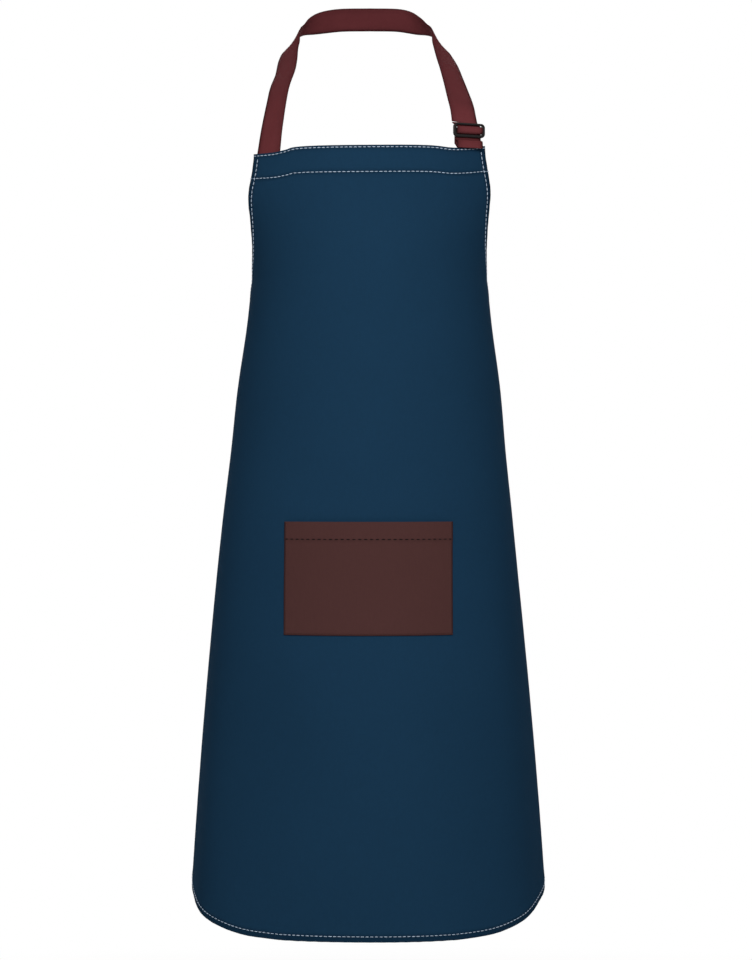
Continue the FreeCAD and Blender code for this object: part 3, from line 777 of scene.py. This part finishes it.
def stitch_row(name, runs, material, node, seed, slot="contrast_thread", **sizes):
    """Rows of stitches along runs of points, as one plain mesh."""
    curve = bpy.data.curves.new(name + "_path", "CURVE")
    curve.dimensions = "3D"
    for run in runs:
        spline = curve.splines.new("POLY")
        spline.points.add(len(run) - 1)
        for point, place in zip(spline.points, run):
            point.co = (*place, 1.0)
    path = bpy.data.objects.new(name + "_path", curve)
    bpy.context.scene.collection.objects.link(path)
    modifier = path.modifiers.new("Stitches", "NODES")
    modifier.node_group = STITCH_TREE
    values = {"Seed": seed, "Thread Material": material}
    values.update({label.replace("_", " "): value for label, value in sizes.items()})
    for label, value in values.items():
        modifier[socket_name(STITCH_TREE, label)] = value
    bpy.context.view_layer.update()
    ready = path.evaluated_get(bpy.context.evaluated_depsgraph_get())
    mesh = bpy.data.meshes.new_from_object(ready)
    mesh.name = name
    bpy.data.objects.remove(path)
    item = bpy.data.objects.new(name, mesh)
    bpy.context.scene.collection.objects.link(item)
    stands_for(item, node)


STITCH_LIFT = CLOTH + 0.00012
HEM_BACK_LIFT = -CLOTH * 1.15 - 0.00008


def both_faces(points):
    """A row of stitches on the outside, and the same row under the hem."""
    return [[worn(a, l, lift) for a, l in points] for lift in (STITCH_LIFT, HEM_BACK_LIFT)]


def build_edge_stitches():
    """Pale stitches along every hem of the panel."""
    line = inset_edge(EDGE_INSET)
    start = int(np.argmax(line[:, 1] > TOP_INSET + 0.003))
    split = int(np.argmax(line[:, 1] > HEM_PARTING))
    right = line[start:split + 1]
    stitch_row("right_side_stitching", both_faces(right), PALE_THREAD, "side_stitches_right", seed=5)
    stitch_row("left_side_stitching", both_faces(right * MIRROR), PALE_THREAD, "side_stitches_left", seed=6)
    low = np.concatenate([line[split:], (line[split:-1] * MIRROR)[::-1]])
    stitch_row("low_stitching", both_faces(low), PALE_THREAD, "bottom_stitches", seed=7)
    top_half = half_width(TOP_INSET) - 0.002
    shares = shares_across(120)
    top = [(top_half * share, TOP_INSET) for share in shares]
    stitch_row("top_edge_stitching", both_faces(top), PALE_THREAD, "top_edge_stitches", seed=8)
    band_half = half_width(TOP_HEM) - 0.0015
    band = [(band_half * share, TOP_HEM - BAND_BOW * share * share) for share in shares]
    stitch_row("top_hem_stitching", both_faces(band), PALE_THREAD, "top_hem_stitches", seed=9)


# ------------------------------------------------------------------ pocket

POCKET_SEAT = CLOTH * 1.35
TACK_STEP = 0.0007


def flat_place(reach, level):
    """Flat place across of a point that lies this far aside when worn."""
    angle = math.asin(reach / float(worn_section(level)[0]))
    return float(np.interp(angle, ANGLES, arc_table(level)))


POCKET_HALF = flat_place(POCKET_HIGH[0] + 0.0008, (POCKET_TOP + POCKET_BOTTOM) / 2)


def pocket_lift(across, level):
    """Flat at the sewn edges, a little slack in the middle, open at the mouth."""
    side = 1 - (abs(across) / POCKET_HALF) ** 4
    drop = (level - POCKET_TOP) / (POCKET_BOTTOM - POCKET_TOP)
    low = 1 - max(0.0, drop) ** 6
    mouth = 0.0012 * math.exp(-(drop / 0.16) ** 2)
    hem = 0.0005 * (1 - float(smooth((level - POCKET_TOP - POCKET_HEM) / 0.003)))
    return POCKET_SEAT + CLOTH * 0.5 + max(0.0, side) * low * (0.0010 + mouth) + hem


def pocket_seam(flat):
    """1 along the pocket's rows of stitches, fading over a few millimetres."""
    points = np.array(flat)
    near_side = np.abs(POCKET_HALF - np.abs(points[:, 0]) - POCKET_SEAM)
    near_low = np.abs(POCKET_BOTTOM - points[:, 1] - POCKET_SEAM)
    near_hem = np.abs(points[:, 1] - POCKET_TOP - POCKET_HEM)
    return 1 - smooth(np.minimum(np.minimum(near_side, near_low), near_hem) / 0.003)


def pocket_row(level):
    """Flat points across the pocket, with columns close to its seams."""
    steps = [0.0, 0.002, 0.004, 0.007]
    inner = POCKET_HALF - 0.010
    left = [-(POCKET_HALF - step) for step in steps]
    middle = [-inner + 2 * inner * i / 50 for i in range(51)]
    return [(across, level) for across in left + middle + [-value for value in reversed(left)]]


def build_pocket():
    """The patch pocket, the hem along its mouth and their stitches."""
    below_hem = POCKET_TOP + POCKET_HEM + 0.003
    levels = spread(POCKET_TOP, below_hem, 12) + spread(below_hem, POCKET_BOTTOM - 0.006, 30)
    levels += [POCKET_BOTTOM - above for above in (0.006, 0.004, 0.002, 0.0)]
    pocket = sheet_piece("pocket_patch", levels, pocket_row, pocket_lift, CLOTH * 0.9, {"seam": pocket_seam},
                         aside=POCKET_ASIDE)
    set_material(pocket, POCKET_BROWN)
    stands_for(pocket, "pocket_cloth")
    hem_levels = spread(POCKET_TOP + 0.0004, POCKET_TOP + POCKET_HEM, 6) + [POCKET_TOP + POCKET_HEM]
    hem_half = POCKET_HALF - 0.0015
    hem = sheet_piece("pocket_mouth_hem", hem_levels,
                      lambda level: [(hem_half * share, level) for share in shares_across(50)],
                      lambda a, l: pocket_lift(a, l) - CLOTH * 0.95, CLOTH * 0.8,
                      {"seam": lambda flat: np.zeros(len(flat))}, aside=POCKET_ASIDE)
    set_material(hem, POCKET_BROWN)
    stands_for(hem, "pocket_hem")
    build_pocket_stitches()


def build_pocket_stitches():
    """Dark stitches under the pocket's mouth, and fine ones round its sewn sides."""
    def on_pocket(points):
        """Flat points of the pocket, worn, just on its outer face."""
        return [worn(a + POCKET_ASIDE, l, pocket_lift(a, l) + CLOTH * 0.5) for a, l in points]

    level = POCKET_TOP + POCKET_HEM
    reach = POCKET_HALF - 0.003
    across = [(reach * share, level) for share in shares_across(90)]
    stitch_row("pocket_hem_stitching", [on_pocket(across)], DARK_THREAD, "pocket_hem_stitches",
               seed=11, slot="pocket_thread", Pitch=0.0062, Stitch_Length=0.0044, Thread=0.0013)
    side = POCKET_HALF - POCKET_SEAM
    low = POCKET_BOTTOM - POCKET_SEAM
    high = POCKET_TOP + POCKET_SEAM
    drop = [high + (low - high) * i / 50 for i in range(51)]
    runs = [on_pocket([(sign * side, value) for value in drop]) for sign in (-1, 1)]
    runs.append(on_pocket([(side * share, low) for share in shares_across(90)]))
    # a second, short row at each end of the mouth, where the seam takes the strain
    for sign in (-1, 1):
        runs.append(on_pocket([(sign * side, high + TACK_STEP * i) for i in range(8)]))
    stitch_row("pocket_seam_stitching", runs, POCKET_THREAD, "pocket_seam_stitches",
               seed=12, slot="pocket_thread", Pitch=0.0030, Stitch_Length=0.0026, Thread=0.0006)


# ------------------------------------------------------------------ webbing

RIBBON_COLUMNS = 9
# where the denser selvedge starts, as a share of the webbing's half width
SELVEDGE = 0.86


def selvedge_swell(share):
    """Thickness of the webbing as a share: a small ridge at the selvedge, thinner at the very edge."""
    past = abs(share) - SELVEDGE
    return float(1.0 - 0.35 * smooth(past / 0.14) + 0.18 * math.exp(-(past / 0.08) ** 2))


def ribbon(name, centres, acrosses, width, thickness, body=None):
    """A closed webbing ribbon: centre line, direction across at each station."""
    count = len(centres)
    half = (RIBBON_COLUMNS - 1) / 2
    ring = [(i / half - 1, 1) for i in range(RIBBON_COLUMNS)]
    ring += [(1 - i / half, -1) for i in range(RIBBON_COLUMNS)]
    points, uvs = [], []
    along = 0.0
    for index, (centre, across) in enumerate(zip(centres, acrosses)):
        if index:
            along += (centre - centres[index - 1]).length
        ahead = centres[min(index + 1, count - 1)] - centres[max(index - 1, 0)]
        normal = ahead.cross(across).normalized()
        for share, side in ring:
            rise = side * thickness / 2 * selvedge_swell(share)
            points.append(centre + across * (share * width / 2) + normal * rise)
            uvs.append((share * width / 2, along))
    size = len(ring)
    faces = []
    for row in range(count - 1):
        for column in range(size):
            a = row * size + column
            b = row * size + (column + 1) % size
            faces.append((a, b, b + size, a + size))
    faces.append(tuple(reversed(range(size))))
    faces.append(tuple((count - 1) * size + i for i in range(size)))
    item = new_mesh(name, points, faces, uvs)
    outward(item)
    set_material(item, WEBBING_BROWN)
    if body:
        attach(item, body)
    return item


def outward(item):
    """Turns a closed mesh's faces outwards."""
    work = bmesh.new()
    work.from_mesh(item.data)
    bmesh.ops.recalc_face_normals(work, faces=work.faces)
    work.to_mesh(item.data)
    work.free()


SLIDER_BASE = Vector(((SLIDER_LOW[0] + SLIDER_HIGH[0]) / 2, (SLIDER_LOW[1] + SLIDER_HIGH[1]) / 2,
                      SLIDER_LOW[2]))
SLIDER_TURN = Matrix.Rotation(SLIDER_YAW, 4, "Z")
SLIDER_ACROSS = Vector((math.cos(SLIDER_YAW), math.sin(SLIDER_YAW), 0))
SLIDER_SIZE = (0.038, SLIDER_HIGH[2] - SLIDER_LOW[2], 0.0028)
BAR_LEVEL = 0.0081
BAR_RADIUS = 0.0012
RUNNING_GAP = 0.0003
FOLDED_STRAP = 0.0012
SAME_PLACE = 0.00008
FOLD_STEP = 0.0005
BEHIND_BAR = -SLIDER_SIZE[2] / 2 - RUNNING_GAP - FOLDED_STRAP / 2
# the strap comes into the slider askew, towards the middle of the chest
SKEW = -0.0042
SKEW_START = 0.0118
# where the neck strap ends and the slider's webbing starts, just above the slider's top bar
ENTRY_LEVEL = 0.0163
# a sewn foot behind the bib: its stations apart, and how far the strap's lies behind the cloth
FOOT_STEP = 0.0033
FOOT_LIFT = -0.0030


def at_slider(across, ahead, up):
    """A place given from the slider's foot: across, ahead of it and up."""
    return SLIDER_BASE + SLIDER_TURN @ Vector((across, -ahead, up))


# places across, back to front and up; the slider's side is pulled a little tighter at the fold
STRAP_ROUTE = {
    -1: [(0.0, 0.0004, 0.0005), (0.037, -0.0035, -0.0010), (0.066, -0.0105, -0.0076),
         (0.0812, -0.0186, -0.0185), (0.0915, -0.0400, -0.0425), (0.0942, -0.0806, -0.0700),
         (0.1005, -0.1206, -0.0996)],
    1: [(0.0, 0.0004, 0.0005), (0.034, -0.0035, -0.0010), (0.055, -0.0090, -0.0072),
        (0.0722, -0.0176, -0.0175), (0.0840, -0.0400, -0.0436), (0.0908, -0.0806, -0.0700),
        (0.0975, -0.1206, -0.0996)],
}
FOLD_Z = -0.0185
RUN_Z = -0.0400
RUN_YAW = math.radians(60)
STRAP_FOOT_X = {-1: 0.1120, 1: 0.1115}


def tucked(side, below, lift):
    """Middle of a strap foot below the bib's top edge, behind the cloth, and the way across it."""
    width = float(worn_section(below)[0])
    angle = math.asin(STRAP_FOOT_X[side] / width)
    across = side * float(np.interp(angle, ANGLES, arc_table(below)))
    near, far = worn(across - 0.006, below, lift), worn(across + 0.006, below, lift)
    return worn(across, below, lift), (far - near).normalized()


def strap_line(side, end, end_across):
    """Middle line of half the neck strap from the nape down to an end, and the ways across it."""
    route = [Vector((side * x, y, z)) for x, y, z in STRAP_ROUTE[side]]
    step = (end - route[-1])
    route.append(route[-1] + Vector((step.x * 0.62, step.y * 0.74, step.z * 0.56)))
    route.append(end)
    line = [Vector(point) for point in through_points(route, 14)]
    nape = Vector((0, -math.sin(NAPE_LEAN), math.cos(NAPE_LEAN)))
    edge_on = Vector((0, -1, 0))
    run = Vector((-side * math.cos(RUN_YAW), -math.sin(RUN_YAW), 0))
    foot = -side * end_across
    acrosses = []
    for index, centre in enumerate(line):
        before = float(smooth((-0.0010 - centre.z) / (-0.0010 - FOLD_Z)))
        after = float(smooth((FOLD_Z - centre.z) / (FOLD_Z - RUN_Z)))
        down = max(0.0, min(1.0, (RUN_Z - centre.z) / (RUN_Z - end.z)))
        along = (line[min(index + 1, len(line) - 1)] - line[max(index - 1, 0)]).normalized()
        across = nape.lerp(edge_on, before).lerp(run, after).lerp(foot, down)
        acrosses.append((across - along * across.dot(along)).normalized())
    return line, acrosses


def build_neck_strap():
    """One length of webbing from the left bib corner, round the nape, to just above the slider."""
    entry = at_slider(SKEW, BEHIND_BAR, ENTRY_LEVEL)
    left, left_across = strap_line(-1, *tucked(-1, 0.0, FOOT_LIFT))
    right, right_across = strap_line(1, entry, SLIDER_ACROSS)
    centres = list(reversed(left)) + right[1:]
    acrosses = list(reversed(left_across)) + right_across[1:]
    for step in range(1, 7):
        centre, across = tucked(-1, FOOT_STEP * step, FOOT_LIFT)
        centres.insert(0, centre)
        acrosses.insert(0, across)
    strap = ribbon("neck_strap", centres, acrosses, STRAP_WIDTH, STRAP_THICK)
    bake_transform(strap)
    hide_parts("neck_strap_nape", "neck_strap_left", "neck_strap_right", "strap_foot_left")


# ------------------------------------------------------------------ slider and folded webbing

def rounded_run(points, radii, arc_steps=8):
    """Points along straight runs joined by tangent arcs, in (ahead, up)."""
    spots = [Vector(point) for point in points]
    result = [spots[0]]
    for index in range(1, len(spots) - 1):
        corner = spots[index]
        before = (spots[index - 1] - corner).normalized()
        after = (spots[index + 1] - corner).normalized()
        half = before.angle(after) / 2
        radius = radii[index - 1]
        reach = radius / math.tan(half)
        centre = corner + (before + after).normalized() * (radius / math.sin(half))
        start = corner + before * reach - centre
        turn = start.angle_signed(corner + after * reach - centre)
        for step in range(arc_steps + 1):
            result.append(centre + Matrix.Rotation(-turn * step / arc_steps, 2) @ start)
    result.append(spots[-1])
    return result


def skew(up):
    """Sideways drift of the strap between the bar and the place where it comes in."""
    return SKEW * float(smooth((up - SKEW_START) / (ENTRY_LEVEL - SKEW_START)))


def folded(name, points, radii, thickness, body, nodes, tucks=(), askew=False):
    """Webbing folded along a path beside the slider; its ends may be tucked behind the bib."""
    line = rounded_run(points, radii)
    kept = [line[0]]
    for point in line[1:]:
        run = point - kept[-1]
        if run.length > SAME_PLACE:
            parts = max(1, round(run.length / FOLD_STEP))
            kept += [point - run * (1 - part / parts) for part in range(1, parts + 1)]
    centres = [at_slider(skew(up) if askew else 0, ahead, up) for ahead, up in kept]
    acrosses = [SLIDER_ACROSS] * len(centres)
    for lift, steps in tucks:
        extra = [tucked(1, FOOT_STEP * step, lift) for step in steps]
        at = 0 if steps[0] > steps[-1] else len(centres)
        centres[at:at] = [centre for centre, across in extra]
        acrosses[at:at] = [across for centre, across in extra]
    item = ribbon(name, centres, acrosses, STRAP_WIDTH, thickness, body)
    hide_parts(*nodes)
    return item


def build_folded_webbing():
    """The slider's tab, the strap over its bar, the short tail below it and the folded end."""
    tab = 0.0011
    strap = FOLDED_STRAP
    gap = RUNNING_GAP
    rise = SLIDER_LOW[2] - TOP_Z
    loop = BAR_RADIUS + gap + tab / 2
    over = loop + tab / 2 + gap + strap / 2
    behind = BEHIND_BAR
    near_leg = behind - strap / 2 - gap / 1.5 - tab / 2
    far_leg = near_leg - tab - gap
    small = 0.0008
    level = BAR_LEVEL
    folded("slider_tab", [
        (near_leg, -rise + 0.0045), (near_leg, level - loop), (loop, level - loop), (loop, level + loop),
        (-BAR_RADIUS, level + loop), (far_leg, level - 0.0009), (far_leg, -rise + 0.0045),
    ], [small, loop - 1e-6, loop - 1e-6, 0.0015, small], tab, "apron", ["strap_tab", "tab_foot_right"],
        tucks=[(-0.0029, range(6, -1, -1)), (-0.0041, range(0, 7))])
    folded("strap_through_slider", [
        (behind, ENTRY_LEVEL), (behind, level + over + 0.0001), (over, level + over), (over, level - over),
        (behind, level - over - 0.0001), (behind, -0.0008),
    ], [small, over - 0.0001, over - 0.0001, small], strap, "slider", ["strap_over_bar"], askew=True)
    front = 0.0026
    tail = folded("strap_short_tail", [
        (behind, -0.0010), (behind, -0.0022), (behind + 0.0009, -0.0031), (front, -0.0042), (front, -0.0072),
    ], [0.0004, 0.0006, 0.0006], strap, None, ["strap_tail"])
    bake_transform(tail)
    top = -0.0056
    folded("strap_folded_end", [(front, top - 0.0060), (front, top)], [],
           2 * strap, "tail", ["tail_end"])


def rounded_outline(width, low, high, radius, steps):
    """A closed rounded rectangle in (across, up), from the lower right corner round."""
    corners = [(width / 2 - radius, low + radius, -90), (width / 2 - radius, high - radius, 0),
               (-width / 2 + radius, high - radius, 90), (-width / 2 + radius, low + radius, 180)]
    points = []
    for x, y, start in corners:
        for step in range(steps + 1):
            angle = math.radians(start + 90 * step / steps)
            points.append((x + radius * math.cos(angle), y + radius * math.sin(angle)))
    return points


def build_slider():
    """Moulded three-bar slider: a softly rounded frame with a round bar across its window."""
    width, height, depth = SLIDER_SIZE
    side, foot, head = 0.0034, 0.0032, 0.0023
    outer = rounded_outline(width, 0, height, 0.0046, 8)
    inner = rounded_outline(width - 2 * side, foot, height - head, 0.0016, 8)
    count = len(outer)
    points = []
    for ahead in (depth / 2, -depth / 2):
        points += [at_slider(x, ahead, z) for x, z in outer]
        points += [at_slider(x, ahead, z) for x, z in inner]
    faces = []
    for i in range(count):
        j = (i + 1) % count
        faces.append((i, j, count + j, count + i))
        faces.append((3 * count + i, 3 * count + j, 2 * count + j, 2 * count + i))
        faces.append((2 * count + i, 2 * count + j, j, i))
        faces.append((count + i, count + j, 3 * count + j, 3 * count + i))
    ring_size = 16
    base = len(points)
    bar_reach = width / 2 - 0.0022
    for across in (-bar_reach, bar_reach):
        for k in range(ring_size):
            angle = 2 * math.pi * k / ring_size
            ahead, rise = BAR_RADIUS * math.cos(angle), BAR_RADIUS * math.sin(angle)
            points.append(at_slider(across, ahead, BAR_LEVEL + rise))
    for k in range(ring_size):
        j = (k + 1) % ring_size
        faces.append((base + k, base + j, base + ring_size + j, base + ring_size + k))
    faces.append(tuple(base + k for k in range(ring_size)))
    faces.append(tuple(base + ring_size + k for k in range(ring_size)))
    frame_piece = new_mesh("slider_moulding", points, faces)
    outward(frame_piece)
    edge = frame_piece.modifiers.new("Soft Edges", "BEVEL")
    edge.width = 0.0007
    edge.segments = 3
    edge.limit_method = "ANGLE"
    edge.angle_limit = math.radians(50)
    set_material(frame_piece, SLIDER_BLACK)
    stands_for(frame_piece, "slider_frame", "slider")


# ------------------------------------------------------------------ tie ends

def build_tie_ends():
    """The sewn ends of the waist ties, inside the side corners."""
    for side, name in ((-1, "left"), (1, "right")):
        low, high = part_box("tie_end_" + name)
        top, bottom = TOP_Z - high[2], TOP_Z - low[2]
        middle = (top + bottom) / 2
        depth = float(worn_section(middle)[1])
        places = [low[1] + (high[1] - low[1]) * i / 12 for i in range(13)]
        centres, acrosses = [], []
        for place in places:
            angle = math.acos(max(-1.0, min(1.0, -(place - BODY_Y) / depth)))
            across = float(np.interp(angle, ANGLES, arc_table(middle)))
            centres.append(worn(side * across, middle, -0.0031))
            acrosses.append(Vector((0, 0, 1)))
        item = ribbon("tie_stub_" + name, centres, acrosses, bottom - top, 0.0012, "apron")
        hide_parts("tie_end_" + name)


# ------------------------------------------------------------------ stage, lights and camera

def glow_for_camera(material_tree, surface, white):
    """Shows white to the camera and to reflections, and the plain surface to everything else."""
    path = material_tree.nodes.new("ShaderNodeLightPath")
    mix = material_tree.nodes.new("ShaderNodeMixShader")
    seen = calc(material_tree, "MAXIMUM", path.outputs["Is Camera Ray"], path.outputs["Is Glossy Ray"])
    seen = calc(material_tree, "MAXIMUM", seen, path.outputs["Is Transmission Ray"])
    material_tree.links.new(seen, mix.inputs[0])
    material_tree.links.new(surface, mix.inputs[1])
    material_tree.links.new(white, mix.inputs[2])
    return mix.outputs[0]


def build_world():
    """A dim even light, with a white backdrop that only the camera sees."""
    world = bpy.data.worlds.new("Studio")
    bpy.context.scene.world = world
    world.use_nodes = True
    tree = world.node_tree
    tree.nodes.clear()
    soft = tree.nodes.new("ShaderNodeBackground")
    soft.inputs[0].default_value = (1, 1, 1, 1)
    soft.inputs[1].default_value = WORLD_LIGHT
    white = tree.nodes.new("ShaderNodeBackground")
    white.inputs[0].default_value = (1, 1, 1, 1)
    white.inputs[1].default_value = 1.0
    out = tree.nodes.new("ShaderNodeOutputWorld")
    tree.links.new(glow_for_camera(tree, soft.outputs[0], white.outputs[0]), out.inputs[0])


def build_floor():
    """A white floor at the height of the wearer's feet, fading into the backdrop at its rim."""
    level = PANEL_LOW[2] - FLOOR_DROP
    ring = [(FLOOR_RADIUS * math.cos(k * math.pi / 48), FLOOR_RADIUS * math.sin(k * math.pi / 48), level)
            for k in range(96)]
    floor = new_mesh("floor", ring, [tuple(range(96))])
    material, tree, shader = start_material("White Floor", 0.9)
    shader.inputs["Base Color"].default_value = (0.94, 0.94, 0.94, 1)
    glow = tree.nodes.new("ShaderNodeEmission")
    place = tree.nodes.new("ShaderNodeTexCoord").outputs["Object"]
    reach = tree.nodes.new("ShaderNodeVectorMath")
    reach.operation = "LENGTH"
    tree.links.new(place, reach.inputs[0])
    rim = tree.nodes.new("ShaderNodeMapRange")
    rim.interpolation_type = "SMOOTHSTEP"
    rim.inputs["From Min"].default_value = abs(level) + 0.05
    rim.inputs["From Max"].default_value = math.hypot(level, FLOOR_RADIUS) - 0.02
    tree.links.new(reach.outputs["Value"], rim.inputs["Value"])
    path = tree.nodes.new("ShaderNodeLightPath")
    mix = tree.nodes.new("ShaderNodeMixShader")
    share = calc(tree, "MAXIMUM", rim.outputs[0], FLOOR_GLOW)
    seen = calc(tree, "MULTIPLY", share, path.outputs["Is Camera Ray"])
    tree.links.new(seen, mix.inputs[0])
    tree.links.new(shader.outputs[0], mix.inputs[1])
    tree.links.new(glow.outputs[0], mix.inputs[2])
    tree.links.new(mix.outputs[0], tree.nodes["Material Output"].inputs["Surface"])
    set_material(floor, material)


def area_light(name, place, target, width, power):
    """A rectangular lamp at a place, turned to a target."""
    light = bpy.data.lights.new(name, "AREA")
    light.shape = "RECTANGLE"
    light.size = width[0]
    light.size_y = width[1]
    light.energy = power
    item = bpy.data.objects.new(name, light)
    item.location = place
    item.rotation_euler = (Vector(target) - Vector(place)).to_track_quat("-Z", "Y").to_euler()
    bpy.context.scene.collection.objects.link(item)


def build_lights():
    """A soft lamp in front of the chest and a larger one behind the panel."""
    middle = (0, BODY_Y, TOP_Z - LENGTH * 0.45)
    chest = (0, BODY_Y, TOP_Z - LENGTH * 0.20)
    area_light("front_softbox", (0.04, -2.08, 0.34), chest, (1.1, 0.7), KEY_LIGHT)
    area_light("rear_softbox", (0.0, 2.6, 0.35), middle, (1.6, 1.6), KEY_LIGHT * 1.1)


def build_camera():
    """Straight on from the front, at the height of the wearer's waist."""
    distance = 3.0
    frame_height = 1.081
    sensor = 36.0
    aside, level = 0.0073, 0.363
    camera = bpy.data.cameras.new("front_camera")
    camera.sensor_width = sensor
    camera.lens = sensor * distance / frame_height
    item = bpy.data.objects.new("front_camera", camera)
    item.location = (aside, BODY_Y - distance, TOP_Z - level)
    item.rotation_euler = (math.pi / 2, 0, 0)
    bpy.context.scene.collection.objects.link(item)
    bpy.context.scene.camera = item


# ------------------------------------------------------------------ build

build_neck_strap()
build_panel()
build_hems()
build_edge_stitches()
build_pocket()
build_slider()
build_folded_webbing()
build_tie_ends()
build_world()
build_floor()
build_lights()
build_camera()
bpy.context.scene.view_settings.view_transform = "Standard"

bpy.context.view_layer.update()
